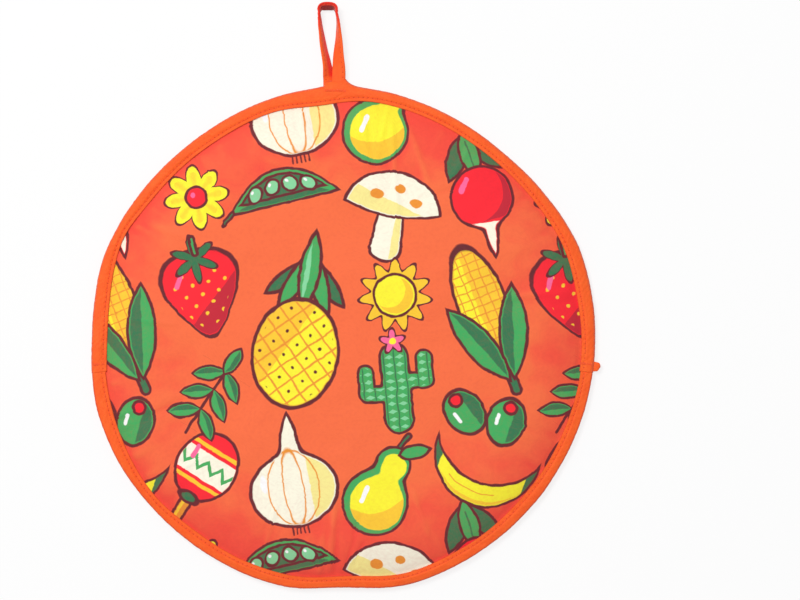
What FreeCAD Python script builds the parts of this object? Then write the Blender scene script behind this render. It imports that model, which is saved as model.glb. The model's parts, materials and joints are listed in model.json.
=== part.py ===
# Round cloth pouch that keeps a stack of tortillas warm.
#
# Two padded round panels lie one on the other. Each panel is a printed outer cloth, a batting and a
# gingham lining. Binding tape closes both panels round the sewn side of the rim. Over the rest of the
# rim each panel has a tape of its own, and the gap between the two taped lips is the mouth.
# The front panel folds up along the straight line between the mouth's corners.
# A length of the same tape makes the hanging loop, opposite the mouth.
#
# Millimetres and degrees. The origin is the panel's centre on the table, +Y points to the loop and
# +Z out of the front panel. A "rim" height is one that holds under the tapes, and a "middle" height
# one that holds over the flat middle of the pouch.

import FreeCAD, Part
import math
import os

Vector = FreeCAD.Vector

# Driving dimensions: the pouch as a whole.
outer_diameter = 305.0
mouth_corner_drop = 8.0  # degrees that the mouth's corners lie below the centre line
pocket_depth = 5.2  # room between the two linings in the middle
front_slope_width = 30.0  # radial width of the front panel's slope from the middle to the rim
back_slope_width = 6.0  # the same on the back panel, which lies flat on the table
rim_lift = 0.5  # height of the rim's underside over the table

# The plies.
outer_cloth_thickness = 0.5
batting_thickness = 3.0
batting_pressed_thickness = 0.7  # where the binding's seam presses it
lining_thickness = 0.4
ply_gap = 0.05  # air between two plies, and between a ply and a tape
fold_slit = 0.6  # gap between the sewn half and the flap of the front panel

# The binding tape.
tape_thickness = 0.6
closing_leg_width = 9.0
mouth_leg_width = 7.2
press_margin = 0.5  # how far the pressed rim of a panel reaches inside the widest tape leg
lip_gap = 0.4  # air between the two lips of the closed mouth

# Stitching.
thread_width = 0.5
thread_height = 0.3
stitch_inset = 2.3  # from the tape's inner edge to the middle of the stitch row
tack_length = 7.0
tack_width = 1.6
corner_tack_offset = 5.0  # from the fold line to the middle of a corner bar tack
tack_to_thread = 1.2
thread_runs = 16

# The stub of tape at one mouth corner.
stub_length = 4.5
stub_width = 6.5
stub_thickness = 2.6
stub_chamfer = 0.8

# The hanging loop.
loop_tape_width = 8.2
loop_tape_thickness = 1.5
loop_reach = 51.4  # from the rim to the top of the loop
loop_top_width = 12.0  # over the outside of the two legs
loop_crown_height = 5.0  # of the rounded top, on the tape's middle line
loop_top_offset = -10.2  # X of the middle of the loop's top
loop_base_offset = -5.6  # X of the middle of its crossed legs
loop_leg_overlap = 3.2  # how far one leg lies over the other at the base
leg_base_twist = 90.0  # degrees from standing on edge to lying flat
left_twist_power = 2.8  # how soon the left leg turns on edge, going up
right_twist_power = 1.8
crown_tilt = 12.0  # degrees that the top of the loop leans towards the front
loop_table_clearance = 0.4
leg_gap = 0.1  # air between the crossed legs
nose_padding = 0.15  # how far the sewn bend at the loop's base stands proud of the legs
nose_sides = 16
leg_sections = 7
crown_sections = 6
root_length = 3.0  # of the sewn root between the rim and the loop
root_flare = 4.0  # radius of the root's sweep into the tape
loop_running_gap = 0.3
loop_tack_inset = 3.0  # from the rim to the middle of the loop's bar tack

# Worked-out values.
outer_radius = outer_diameter / 2
cloth_radius = outer_radius - tape_thickness - ply_gap
pressed_radius = outer_radius - closing_leg_width - press_margin
fold_y = -outer_radius * math.sin(math.radians(mouth_corner_drop))


def stacked(start, thicknesses):
    """Lowest and highest height of each ply of a stack, from the bottom up."""
    spans = []
    for thickness in thicknesses:
        spans.append((start, start + thickness))
        start += thickness + ply_gap
    return spans


# Heights of the plies in the middle of the pouch and at its rim, from the table up.
back_middle = stacked(0.0, [outer_cloth_thickness, batting_thickness, lining_thickness])
back_rim = stacked(
    rim_lift + tape_thickness + ply_gap,
    [outer_cloth_thickness, batting_pressed_thickness, lining_thickness],
)
front_middle = stacked(
    back_middle[-1][1] + pocket_depth,
    [lining_thickness, batting_thickness, outer_cloth_thickness],
)
flap_rim = stacked(
    back_rim[-1][1] + 2 * (ply_gap + tape_thickness) + lip_gap,
    [lining_thickness, batting_pressed_thickness, outer_cloth_thickness],
)
sewn_lining_low = back_rim[-1][1] + ply_gap
sewn_lining_high = sewn_lining_low + lining_thickness
sewn_rim = [
    (sewn_lining_low, sewn_lining_high),
    (sewn_lining_high + ply_gap, flap_rim[2][0] - ply_gap),
    flap_rim[2],
]

# Heights of the tapes' outer faces.
tape_low = rim_lift
tape_high = flap_rim[2][1] + ply_gap + tape_thickness
back_lip_high = back_rim[2][1] + ply_gap + tape_thickness
front_lip_low = flap_rim[0][0] - ply_gap - tape_thickness
rim_middle = (tape_low + tape_high) / 2

flap_hinge_height = front_middle[2][1]


def revolved(outline):
    """A full turn about Z of a closed outline of (radius, height) points."""
    corners = [Vector(radius, 0, height) for radius, height in outline]
    face = Part.Face(Part.makePolygon(corners + corners[:1]))
    return face.revolve(Vector(0, 0, 0), Vector(0, 0, 1), 360)


def cloth_ply(middle, rim, slope_width):
    """A round ply: flat in the middle, sloped in a band, and flat again under the tapes."""
    flat_radius = pressed_radius - slope_width
    lower = [
        (0, middle[0]),
        (flat_radius, middle[0]),
        (pressed_radius, rim[0]),
        (cloth_radius, rim[0]),
    ]
    upper = [
        (cloth_radius, rim[1]),
        (pressed_radius, rim[1]),
        (flat_radius, middle[1]),
        (0, middle[1]),
    ]
    return revolved(lower + upper)


def batting_ply(middle, rim, slope_width):
    """A batting: flat in the middle and tapered to an edge that stops short of the tapes."""
    flat_radius = pressed_radius - slope_width
    return revolved(
        [
            (0, middle[0]),
            (flat_radius, middle[0]),
            (pressed_radius, rim[0]),
            (pressed_radius, rim[1]),
            (flat_radius, middle[1]),
            (0, middle[1]),
        ]
    )


def binding(low, high, leg_width):
    """Tape folded over an edge: an upper leg, a lower leg and the fold that joins them."""
    leg_edge = outer_radius - leg_width
    inner_fold = outer_radius - tape_thickness
    return revolved(
        [
            (leg_edge, low),
            (outer_radius, low),
            (outer_radius, high),
            (leg_edge, high),
            (leg_edge, high - tape_thickness),
            (inner_fold, high - tape_thickness),
            (inner_fold, low + tape_thickness),
            (leg_edge, low + tape_thickness),
        ]
    )


def rim_angle(radius, y):
    """The angle, on the right-hand side, of the point of a circle at height y."""
    return math.degrees(math.asin(y / radius))


def rim_point(radius, angle, height):
    """A point at a radius and angle about Z."""
    turn = math.radians(angle)
    return Vector(radius * math.cos(turn), radius * math.sin(turn), height)


def seam_row(radius, start, end, low):
    """One side of a stitch row, in short straight runs from one angle to another."""
    angles = [start + (end - start) * run / thread_runs for run in range(thread_runs + 1)]
    inner = [rim_point(radius - thread_width / 2, angle, low) for angle in angles]
    outer = [rim_point(radius + thread_width / 2, angle, low) for angle in angles]
    outline = inner + outer[::-1] + inner[:1]
    return Part.Face(Part.makePolygon(outline)).extrude(Vector(0, 0, thread_height))


def half_space(start, direction):
    """A block that holds all of the pouch on one side of the line y = start."""
    size = 3 * outer_diameter
    block = Part.makeBox(size, size, size, Vector(-size / 2, 0, -size / 2))
    if direction < 0:
        block.translate(Vector(0, -size, 0))
    block.translate(Vector(0, start, 0))
    return block


def sewn_side(shape):
    """What lies on the loop's side of the fold line."""
    return shape.common(half_space(fold_y + fold_slit / 2, 1))


def mouth_side(shape):
    """What lies on the mouth's side of the fold line."""
    return shape.common(half_space(fold_y - fold_slit / 2, -1))


def closing_seam_thread():
    """Both sides of the row that closes the sewn half, from one corner's tack to the other's."""
    radius = outer_radius - closing_leg_width + stitch_inset
    start = rim_angle(radius, fold_y + corner_tack_offset + tack_width / 2 + tack_to_thread)
    under = seam_row(radius, start, 180 - start, tape_low - ply_gap - thread_height)
    over = seam_row(radius, start, 180 - start, tape_high + ply_gap)
    return Part.makeCompound([under, over])


def mouth_seam_thread(low):
    """The row along one lip, on the face of the pouch."""
    radius = outer_radius - mouth_leg_width + stitch_inset
    end = rim_angle(radius, fold_y - fold_slit)
    return seam_row(radius, 180 - end, 360 + end, low)


def radial_block(length, width, height, radius, angle, low):
    """A block with its length along the radius at an angle, centred on that radius."""
    block = Part.makeBox(length, width, height, Vector(radius - length / 2, -width / 2, low))
    block.rotate(Vector(0, 0, 0), Vector(0, 0, 1), angle)
    return block


def corner_bar_tacks():
    """The dense cross stitches at the two corners of the mouth, one pair on each face."""
    radius = outer_radius - closing_leg_width / 2
    right = rim_angle(radius, fold_y + corner_tack_offset)
    tacks = []
    for angle in (right, 180 - right):
        for low in (tape_low - ply_gap - thread_height, tape_high + ply_gap):
            tacks.append(radial_block(tack_length, tack_width, thread_height, radius, angle, low))
    return Part.makeCompound(tacks)


def binding_tape_end():
    """The folded stub of tape that sticks out of the rim at the right-hand mouth corner."""
    middle_y = fold_y + fold_slit + stub_width / 2
    angle = rim_angle(outer_radius, middle_y)
    radius = outer_radius + stub_length / 2
    low = rim_middle - stub_thickness / 2
    stub = radial_block(stub_length, stub_width, stub_thickness, 0, 0, low)
    outer_edges = [edge for edge in stub.Edges if edge.BoundBox.XMin > stub_length / 2 - 0.01]
    stub = stub.makeChamfer(stub_chamfer, outer_edges)
    stub.translate(Vector(radius, 0, 0))
    stub.rotate(Vector(0, 0, 0), Vector(0, 0, 1), angle)
    rim = Part.makeCylinder(outer_radius + ply_gap, tape_high)
    return stub.cut(rim)


# The loop's hinge: the bend where the crossed legs leave their sewn root.
nose_radius = loop_tape_thickness + leg_gap / 2 + nose_padding
root_end_y = outer_radius + root_length
loop_hinge_y = root_end_y + loop_running_gap + nose_radius
loop_top_y = outer_radius + loop_reach
loop_base_width = 2 * loop_tape_width - loop_leg_overlap
crown_half_width = (loop_top_width - loop_tape_thickness) / 2
crown_y = loop_top_y - loop_tape_thickness / 2 - loop_crown_height
loop_top_z = max(rim_middle, loop_table_clearance + loop_tape_width / 2 + loop_tape_thickness / 2)


def leg_station(side, share):
    """Middle point of the tape, its direction and its twist, on a leg from base (0) to crown (1)."""
    base_x = loop_base_offset + side * (loop_tape_width - loop_leg_overlap) / 2
    top_x = loop_top_offset + side * crown_half_width
    base_z = rim_middle + side * (loop_tape_thickness + leg_gap) / 2
    rise = crown_y - loop_hinge_y
    power = right_twist_power if side > 0 else left_twist_power
    on_edge = 1 - (1 - share) ** power
    quarter = math.pi / 2
    middle = Vector(
        base_x + (top_x - base_x) * math.sin(quarter * share),
        loop_hinge_y + rise * share,
        base_z + (loop_top_z - base_z) * on_edge,
    )
    lean = (top_x - base_x) * quarter * math.cos(quarter * share) * on_edge
    direction = Vector(lean, rise, 0).normalize() * -side
    return middle, direction, side * leg_base_twist * (1 - on_edge)


def crown_station(share):
    """The same on the rounded top, from the left leg (0) to the right leg (1)."""
    angle = math.pi * (1 - share)
    middle = Vector(
        loop_top_offset + crown_half_width * math.cos(angle),
        crown_y + loop_crown_height * math.sin(angle),
        loop_top_z,
    )
    direction = Vector(
        crown_half_width * math.sin(angle), -loop_crown_height * math.cos(angle), 0
    ).normalize()
    return middle, direction, -crown_tilt * math.sin(angle)


def tape_corners(middle, direction, twist):
    """Corners of the tape's section: its width stands along Z untwisted, and lies flat at 90."""
    outward = Vector(0, 0, 1).cross(direction)
    turn = FreeCAD.Rotation(direction, twist)
    across = turn.multVec(Vector(0, 0, 1)) * (loop_tape_width / 2)
    through = turn.multVec(outward) * (loop_tape_thickness / 2)
    return [
        middle + across + through,
        middle - across + through,
        middle - across - through,
        middle + across - through,
    ]


def strip_between(corners, next_corners):
    """The four sides of the tape from one section to the next, each as two flat triangles.

    The edge between the two triangles runs from b to d. On the crossed legs that edge sinks into
    both facing sides of the tape, so the legs stay clear of each other.
    """
    faces = []
    for index in range(4):
        following = (index + 1) % 4
        a, b = corners[index], corners[following]
        c, d = next_corners[following], next_corners[index]
        faces.append(Part.Face(Part.makePolygon([a, b, d, a])))
        faces.append(Part.Face(Part.makePolygon([b, c, d, b])))
    return faces


def loop_nose():
    """The rounded bend, across both legs, that turns about the loop's hinge line."""
    left_x = loop_base_offset - loop_base_width / 2
    corners = []
    for side in range(nose_sides):
        turn = 2 * math.pi * (side + 0.5) / nose_sides
        y = loop_hinge_y + nose_radius * math.cos(turn)
        z = rim_middle + nose_radius * math.sin(turn)
        corners.append(Vector(left_x, y, z))
    outline = Part.makePolygon(corners + corners[:1])
    return Part.Face(outline).extrude(Vector(loop_base_width, 0, 0))


def hanging_loop():
    """The twisted tape, up one leg, over the top and down the other, on its rounded nose."""
    left = [leg_station(-1, step / leg_sections) for step in range(leg_sections)]
    crown = [crown_station(step / crown_sections) for step in range(crown_sections + 1)]
    right = [leg_station(1, step / leg_sections) for step in reversed(range(leg_sections))]
    sections = [tape_corners(*station) for station in left + crown + right]
    faces = []
    for corners, next_corners in zip(sections, sections[1:]):
        faces.extend(strip_between(corners, next_corners))
    for corners in (sections[0], sections[-1]):
        faces.append(Part.Face(Part.makePolygon(corners + corners[:1])))
    shell = Part.makeShell(faces)
    shell.sewShape()
    tape = Part.makeSolid(shell)
    return tape.fuse(loop_nose())


def loop_root():
    """The sewn ends of the loop's tape, with a sweep on the right into the binding."""
    left_x = loop_base_offset - loop_base_width / 2
    right_x = loop_base_offset + loop_base_width / 2
    inside_y = outer_radius - 2 * root_length
    low = rim_middle - nose_radius
    sweep_y = root_end_y - root_length / 4
    foot_x = right_x + root_flare
    foot_y = sweep_y - root_flare
    bend = root_flare * (1 - math.sqrt(0.5))
    edges = [
        Part.LineSegment(Vector(left_x, inside_y, low), Vector(left_x, root_end_y, low)),
        Part.LineSegment(Vector(left_x, root_end_y, low), Vector(right_x, root_end_y, low)),
        Part.LineSegment(Vector(right_x, root_end_y, low), Vector(right_x, sweep_y, low)),
        Part.Arc(
            Vector(right_x, sweep_y, low),
            Vector(right_x + bend, foot_y + bend, low),
            Vector(foot_x, foot_y, low),
        ),
        Part.LineSegment(Vector(foot_x, foot_y, low), Vector(foot_x, inside_y, low)),
        Part.LineSegment(Vector(foot_x, inside_y, low), Vector(left_x, inside_y, low)),
    ]
    outline = Part.Wire([edge.toShape() for edge in edges])
    block = Part.Face(outline).extrude(Vector(0, 0, 2 * nose_radius))
    rim = Part.makeCylinder(outer_radius + ply_gap, tape_high)
    return block.cut(rim)


def loop_bar_tack():
    """The dense stitches that hold the loop's ends, across the tape on both faces."""
    middle_y = outer_radius - loop_tack_inset
    tacks = []
    for low in (tape_low - ply_gap - thread_height, tape_high + ply_gap):
        corner = Vector(loop_base_offset - loop_base_width / 2, middle_y - tack_width / 2, low)
        tacks.append(Part.makeBox(loop_base_width, tack_width, thread_height, corner))
    return Part.makeCompound(tacks)


nodes = {
    "back_outer_cloth": cloth_ply(back_middle[0], back_rim[0], back_slope_width),
    "back_batting": batting_ply(back_middle[1], back_rim[1], back_slope_width),
    "back_lining": cloth_ply(back_middle[2], back_rim[2], back_slope_width),
    "front_lining": sewn_side(cloth_ply(front_middle[0], sewn_rim[0], front_slope_width)),
    "front_batting": sewn_side(batting_ply(front_middle[1], sewn_rim[1], front_slope_width)),
    "front_outer_cloth": sewn_side(cloth_ply(front_middle[2], sewn_rim[2], front_slope_width)),
    "flap_lining": mouth_side(cloth_ply(front_middle[0], flap_rim[0], front_slope_width)),
    "flap_batting": mouth_side(batting_ply(front_middle[1], flap_rim[1], front_slope_width)),
    "flap_outer_cloth": mouth_side(cloth_ply(front_middle[2], flap_rim[2], front_slope_width)),
    "closing_binding": sewn_side(binding(tape_low, tape_high, closing_leg_width)),
    "back_mouth_binding": mouth_side(binding(tape_low, back_lip_high, mouth_leg_width)),
    "front_mouth_binding": mouth_side(binding(front_lip_low, tape_high, mouth_leg_width)),
    "closing_seam_thread": closing_seam_thread(),
    "back_mouth_seam_thread": mouth_seam_thread(tape_low - ply_gap - thread_height),
    "front_mouth_seam_thread": mouth_seam_thread(tape_high + ply_gap),
    "corner_bar_tacks": corner_bar_tacks(),
    "binding_tape_end": binding_tape_end(),
    "loop_root": loop_root(),
    "loop_bar_tack": loop_bar_tack(),
    "hanging_loop": hanging_loop(),
}

os.makedirs("parts", exist_ok=True)
for name, shape in nodes.items():
    shape.exportStep(f"parts/{name}.step")
    box = shape.BoundBox
    print(
        f"{name:26s} {len(shape.Solids)} solid(s) {shape.Volume:10.1f} mm3"
        f"  z {box.ZMin:6.2f} to {box.ZMax:6.2f}  valid {shape.isValid()}"
    )
print(f"flap hinge: y {fold_y:.3f} z {flap_hinge_height:.3f}")
print(f"loop hinge: y {loop_hinge_y:.3f} z {rim_middle:.3f}")
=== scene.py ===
# %% [markdown]
# # A cloth tortilla warmer
# The warmer is a round pouch of two padded panels. The back panel lies on the table. The front panel is
# sewn to it round the upper rim, and its lower part is a flap that lifts, so the lower rim is the mouth.
# The construction comes from the CAD model, which the first cell loads. Everything that is cloth is then
# modelled here in the same place, a little irregular, as sewn work is.

# %% Load the construction
import json
import math
import bmesh
import bpy
import numpy as np
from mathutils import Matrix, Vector


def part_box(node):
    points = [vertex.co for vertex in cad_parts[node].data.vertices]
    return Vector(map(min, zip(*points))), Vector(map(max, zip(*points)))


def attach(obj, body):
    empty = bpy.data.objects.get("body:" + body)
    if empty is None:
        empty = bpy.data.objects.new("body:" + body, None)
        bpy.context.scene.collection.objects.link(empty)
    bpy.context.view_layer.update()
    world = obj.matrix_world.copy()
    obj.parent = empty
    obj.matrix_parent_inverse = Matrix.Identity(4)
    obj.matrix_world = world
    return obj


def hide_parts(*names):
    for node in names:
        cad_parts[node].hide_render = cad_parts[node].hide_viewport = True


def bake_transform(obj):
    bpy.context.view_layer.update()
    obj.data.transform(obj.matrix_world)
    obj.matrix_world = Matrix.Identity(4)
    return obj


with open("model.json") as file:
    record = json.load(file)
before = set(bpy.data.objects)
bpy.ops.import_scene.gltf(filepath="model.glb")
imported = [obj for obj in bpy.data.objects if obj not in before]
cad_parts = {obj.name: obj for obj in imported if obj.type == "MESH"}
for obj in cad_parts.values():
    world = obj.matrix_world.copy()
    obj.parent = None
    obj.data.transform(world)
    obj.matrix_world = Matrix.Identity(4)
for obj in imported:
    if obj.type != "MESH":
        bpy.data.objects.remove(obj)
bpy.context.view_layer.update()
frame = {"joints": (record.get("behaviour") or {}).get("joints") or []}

# %% [markdown]
# ## Sizes
# Every size that the construction already fixes is read from it, in millimetres, because a maker thinks
# in millimetres. `MM` turns them into Blender's metres when a mesh is made.

# %% Read the sizes
MM = 0.001


def box_mm(node):
    """Lowest and highest corner of a construction node, in millimetres."""
    low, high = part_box(node)
    return low / MM, high / MM


joint_y = {joint["name"]: joint["pos_m"][1] / MM for joint in frame["joints"]}
FOLD_Y = joint_y["flap_fold"]
LOOP_HINGE_Y = joint_y["loop_bend"]
OUTER_RADIUS = box_mm("closing_binding")[1].x
TAPE_LOW = box_mm("closing_binding")[0].z
TAPE_HIGH = box_mm("closing_binding")[1].z
BACK_LIP_HIGH = box_mm("back_mouth_binding")[1].z
FRONT_LIP_LOW = box_mm("front_mouth_binding")[0].z
RIM_MIDDLE = (TAPE_LOW + TAPE_HIGH) / 2
FRONT_TOP = box_mm("front_outer_cloth")[1].z
print(f"radius {OUTER_RADIUS:.1f} mm, tape {TAPE_LOW:.2f} to {TAPE_HIGH:.2f} mm up, fold at {FOLD_Y:.1f} mm")

# %% [markdown]
# ## The rim's outline
# A cut and bound circle is never quite a circle. Blender's own circle would look machined, so the rim is
# a circle set a little off centre, with a few soft bulges and flats laid over it. All pieces take their
# outline from this one function, which keeps the cloth inside its tape all the way round.

# %% Shape the rim
RIM_SHIFT_X = -1.3
RIM_SHIFT_Y = -1.9
RIM_SHRINK = 0.1
RIM_BULGES = [  # angle in degrees, spread in degrees, height in millimetres
    (12, 22, 1.6),
    (21, 8, 0.8),
    (50, 16, -2.1),
    (84, 9, 1.2),
    (100, 14, 1.2),
    (127, 14, -1.3),
    (142, 12, -0.6),
    (160, 7, 0.8),
    (180, 12, -0.8),
    (194, 8, 0.8),
    (207, 14, 1.5),
    (252, 12, 0.5),
    (270, 9, -3.3),
    (286, 8, 0.7),
]


def away_from(angle, middle):
    """The signed angle from middle, -180 to 180 degrees."""
    return (angle - middle + 180) % 360 - 180


def polar(radius, angle):
    """x and y of a place given by its radius and its angle in degrees."""
    turn = np.radians(angle)
    return radius * np.cos(turn), radius * np.sin(turn)


def bumps(angle, heights):
    """The sum of soft bumps, each given by its angle, spread and height."""
    total = 0
    for middle, spread, height in heights:
        total = total + height * np.exp(-((away_from(angle, middle) / spread) ** 2))
    return total


def rim_radius(angle):
    """The pouch's outer radius, in millimetres, at an angle in degrees."""
    turn = np.radians(angle)
    circle = OUTER_RADIUS - RIM_SHRINK + RIM_SHIFT_X * np.cos(turn) + RIM_SHIFT_Y * np.sin(turn)
    return circle + bumps(angle, RIM_BULGES)


every_degree = np.arange(360.0)
print(f"rim radius from {rim_radius(every_degree).min():.1f} to {rim_radius(every_degree).max():.1f} mm")

# %% [markdown]
# ## The tape's width
# A tape that is folded and fed in by hand covers a little more cloth here and a little less there. Its
# widths are the same kind of soft bumps. The cloth comes out from under the tape where the tape ends, so
# the panels need these widths as well.

# %% Vary the tape's width
CLOSING_LEG = 8.3
LIP_LEG = 7.6
LEG_SWAY = 0.12
CLOSING_WIDTHS = [(14, 12, 1.1), (60, 25, -0.9), (97, 8, 2.4), (154, 6, -1.5), (180, 14, 1.5)]
LIP_WIDTHS = [(197, 11, 1.5), (220, 9, -1.1), (268, 10, -0.6), (318, 14, 0.5)]
CORNER_ANGLE = math.degrees(math.asin(FOLD_Y / OUTER_RADIUS))
LEFT_CORNER = 180 - CORNER_ANGLE


def smooth(value):
    """0 below 0, 1 above 1 and smooth between them."""
    share = np.clip(value, 0, 1)
    return share * share * (3 - 2 * share)


def closing_leg(angle):
    """How far the closing tape reaches in from the rim, in millimetres."""
    return CLOSING_LEG + bumps(angle, CLOSING_WIDTHS) + LEG_SWAY * np.sin(13 * np.radians(angle))


def lip_leg(angle):
    """The same for the tapes on the lips of the mouth."""
    return LIP_LEG + bumps(angle, LIP_WIDTHS) + LEG_SWAY * np.sin(17 * np.radians(angle) + 2)


def past_corner(angle):
    """Degrees past the nearer corner of the mouth: above zero at the mouth, below it at the sewn half."""
    return np.abs(away_from(angle, 90)) - (90 - CORNER_ANGLE)


def tape_leg(angle):
    """The width of whichever tape is on the rim there."""
    lip = smooth(past_corner(angle) / 3 + 0.5)
    return closing_leg(angle) * (1 - lip) + lip_leg(angle) * lip


print(f"tape from {tape_leg(every_degree).min():.1f} to {tape_leg(every_degree).max():.1f} mm wide")
print(f"mouth corners at {CORNER_ANGLE:.1f} and {LEFT_CORNER:.1f} degrees")

# %% [markdown]
# ## From points to pieces
# Each piece is a mesh of quads that this file works out point by point. Each point also keeps the place
# that it had on the flat cloth, in the attribute `flat_mm`. The prints and weaves are painted by that
# place, so they stay on the cloth when it bends.

# %% Make a piece
def place_object(name, data):
    """A new object in the scene."""
    thing = bpy.data.objects.new(name, data)
    bpy.context.scene.collection.objects.link(thing)
    return thing


def add_piece(name, points, faces, flat, material, slot):
    """A smooth mesh object from points in millimetres and the place of each on the flat cloth."""
    mesh = bpy.data.meshes.new(name)
    mesh.from_pydata((points.reshape(-1, 3) * MM).tolist(), [], faces)
    place = mesh.attributes.new("flat_mm", "FLOAT_VECTOR", "POINT")
    place.data.foreach_set("vector", flat.astype(np.float32).ravel())
    shell = bmesh.new()
    shell.from_mesh(mesh)
    bmesh.ops.recalc_face_normals(shell, faces=shell.faces)
    shell.to_mesh(mesh)
    shell.free()
    mesh.shade_smooth()
    mesh.materials.append(material)
    piece = place_object(name, mesh)
    return piece


def stack(*columns):
    """Arrays of one shape joined as the coordinates of points."""
    return np.stack(np.broadcast_arrays(*columns), axis=-1).astype(float)


def squares(number):
    """The four corners of every square in a grid of point numbers."""
    corners = [number[:-1, :-1], number[:-1, 1:], number[1:, 1:], number[1:, :-1]]
    return np.stack(corners, axis=-1).reshape(-1, 4)


def quads(rows, columns, around=False):
    """The faces of a grid of points, closed in its second direction if around is true."""
    number = np.arange(rows * columns).reshape(rows, columns)
    if around:
        number = np.hstack([number, number[:, :1]])
    return squares(number).tolist()


def tube_faces(rings, sides):
    """The faces of a tube of rings of points, with a cap on each end."""
    last = rings * sides
    return quads(rings, sides, around=True) + [list(range(sides)), list(range(last - sides, last))]


def closed_sheet(upper, lower):
    """Points and faces of a cloth between two square grids, with the strip round its edge."""
    size = upper.shape[0]
    number = np.arange(size * size).reshape(size, size)
    edge = np.concatenate([number[0, :-1], number[:-1, -1], number[-1, :0:-1], number[:0:-1, 0]])
    following = np.roll(edge, -1)
    strip = np.stack([edge, following, following + size * size, edge + size * size], axis=-1)
    faces = np.concatenate([squares(number), squares(number + size * size), strip])
    return np.stack([upper, lower]), faces.tolist()


# %% [markdown]
# ## Materials made of sums
# A printed motif is a shape with a hard edge. In a material such a shape can be written as a sum: the
# distance from the shape's edge, below zero inside. `Field` lets those sums be written with + and -, and
# adds the Math nodes. The same class serves the weave of the cloth and of the tape.

# %% Write materials as sums
def plug(tree, value, socket):
    """Links a field or an output to a socket, or sets the socket to a plain value."""
    if isinstance(value, Field):
        value = value.socket
    if isinstance(value, bpy.types.NodeSocket):
        tree.links.new(value, socket)
    else:
        socket.default_value = value


def add_node(tree, kind, inputs, **settings):
    """A new shader node. inputs gives the value of each of its sockets by name or number."""
    node = tree.nodes.new("ShaderNode" + kind)
    for name, setting in settings.items():
        setattr(node, name, setting)
    for name, value in inputs.items():
        plug(tree, value, node.inputs[name])
    return node


class Field:
    """A number that varies over a surface. Arithmetic with it adds Math nodes to its material."""

    def __init__(self, tree, socket):
        self.tree = tree
        self.socket = socket

    def math(self, operation, *others, clamp=False):
        inputs = dict(enumerate((self, *others)))
        node = add_node(self.tree, "Math", inputs, operation=operation, use_clamp=clamp)
        return Field(self.tree, node.outputs[0])

    def __add__(self, other):
        return self.math("ADD", other)

    def __sub__(self, other):
        return self.math("SUBTRACT", other)

    def __mul__(self, other):
        return self.math("MULTIPLY", other)

    def __truediv__(self, other):
        return self.math("DIVIDE", other)

    def __neg__(self):
        return self.math("MULTIPLY", -1.0)

    def __abs__(self):
        return self.math("ABSOLUTE")

    def every(self, pitch):
        """Distance from the nearest of the lines that repeat at a pitch."""
        return self.math("PINGPONG", pitch / 2)

    def ramp(self, low, high):
        """0 below low, 1 above high and smooth between them."""
        inputs = {"Value": self, "From Min": low, "From Max": high}
        node = add_node(self.tree, "MapRange", inputs, interpolation_type="SMOOTHSTEP")
        return Field(self.tree, node.outputs["Result"])


def linear(red, green, blue):
    """A colour written as a screen shows it, 0 to 255, as the linear one that a socket takes."""
    shares = [channel / 255 for channel in (red, green, blue)]
    return (*[s / 12.92 if s <= 0.04045 else ((s + 0.055) / 1.055) ** 2.4 for s in shares], 1.0)


def mix_colour(tree, share, below, above):
    """The colour that goes from below to above as share goes from 0 to 1."""
    return add_node(tree, "Mix", {0: share, 6: below, 7: above}, data_type="RGBA").outputs[2]


def cloudy(tree, place, size_mm, detail=2.0):
    """A soft random field of about 0.5, with clouds of about size_mm."""
    node = add_node(tree, "TexNoise", {"Scale": 1 / size_mm, "Detail": detail, "Vector": place})
    return Field(tree, node.outputs["Fac"])


# %% [markdown]
# ## A cloth material
# All the cloths share their build: a Principled shader that is rough, with a little sheen, and a bump
# from the weave. What differs is the colour, and how coarse the weave is.

# %% Start a cloth material
def start_material(name, roughness, sheen):
    """A new material: its tree, its shader node and the place on the flat cloth as a vector socket."""
    material = bpy.data.materials.new(name)
    material.use_nodes = True
    tree = material.node_tree
    shader = tree.nodes["Principled BSDF"]
    shader.inputs["Roughness"].default_value = roughness
    shader.inputs["Sheen Weight"].default_value = sheen
    shader.inputs["Sheen Roughness"].default_value = 0.5
    shader.inputs["Specular IOR Level"].default_value = 0.25
    place = add_node(tree, "Attribute", {}, attribute_name="flat_mm")
    return material, tree, shader, place.outputs["Vector"]


def parts_of(tree, vector):
    """The three numbers of a vector socket as fields."""
    return [Field(tree, output) for output in add_node(tree, "SeparateXYZ", {0: vector}).outputs]


def turned(tree, vector, degrees):
    """A vector socket turned about Z."""
    inputs = {"Angle": math.radians(degrees), "Vector": vector}
    return add_node(tree, "VectorRotate", inputs, rotation_type="Z_AXIS").outputs[0]


def add_bump(tree, shader, height, height_mm):
    """Raises the surface by height, a field from 0 to 1, times height_mm."""
    bump = add_node(tree, "Bump", {"Strength": 1.0, "Distance": height_mm * MM, "Height": height})
    tree.links.new(bump.outputs[0], shader.inputs["Normal"])


def plain_weave(x, y, yarn):
    """The relief of a plain weave, 0 to 1: warp over weft and weft over warp, in turns."""
    over = (x.every(yarn * 2) * (math.pi / yarn)).math("COSINE")
    under = (y.every(yarn * 2) * (math.pi / yarn)).math("COSINE")
    return (over * under + 1.0) * 0.5


# %% [markdown]
# ## The printed cloth: shapes
# The print is a kitchen garden in flat colours with a dark brown outline. Its motifs are built from a few
# shapes: a disc, an oval, an upright bar with round ends and a pointed leaf. Shapes are joined with
# `either`, cut with `both` and run together with `melt`.

# %% Define the printed shapes
def far(x, y):
    """Distance from the middle."""
    return (x * x + y * y).math("SQRT")


def disc(x, y, radius):
    return far(x, y) - radius


def oval(x, y, wide, tall):
    return (far(x * (1 / wide), y * (1 / tall)) - 1.0) * min(wide, tall)


def bar(x, y, half, radius):
    return far(x, (abs(y) - half).math("MAXIMUM", 0.0)) - radius


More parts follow.
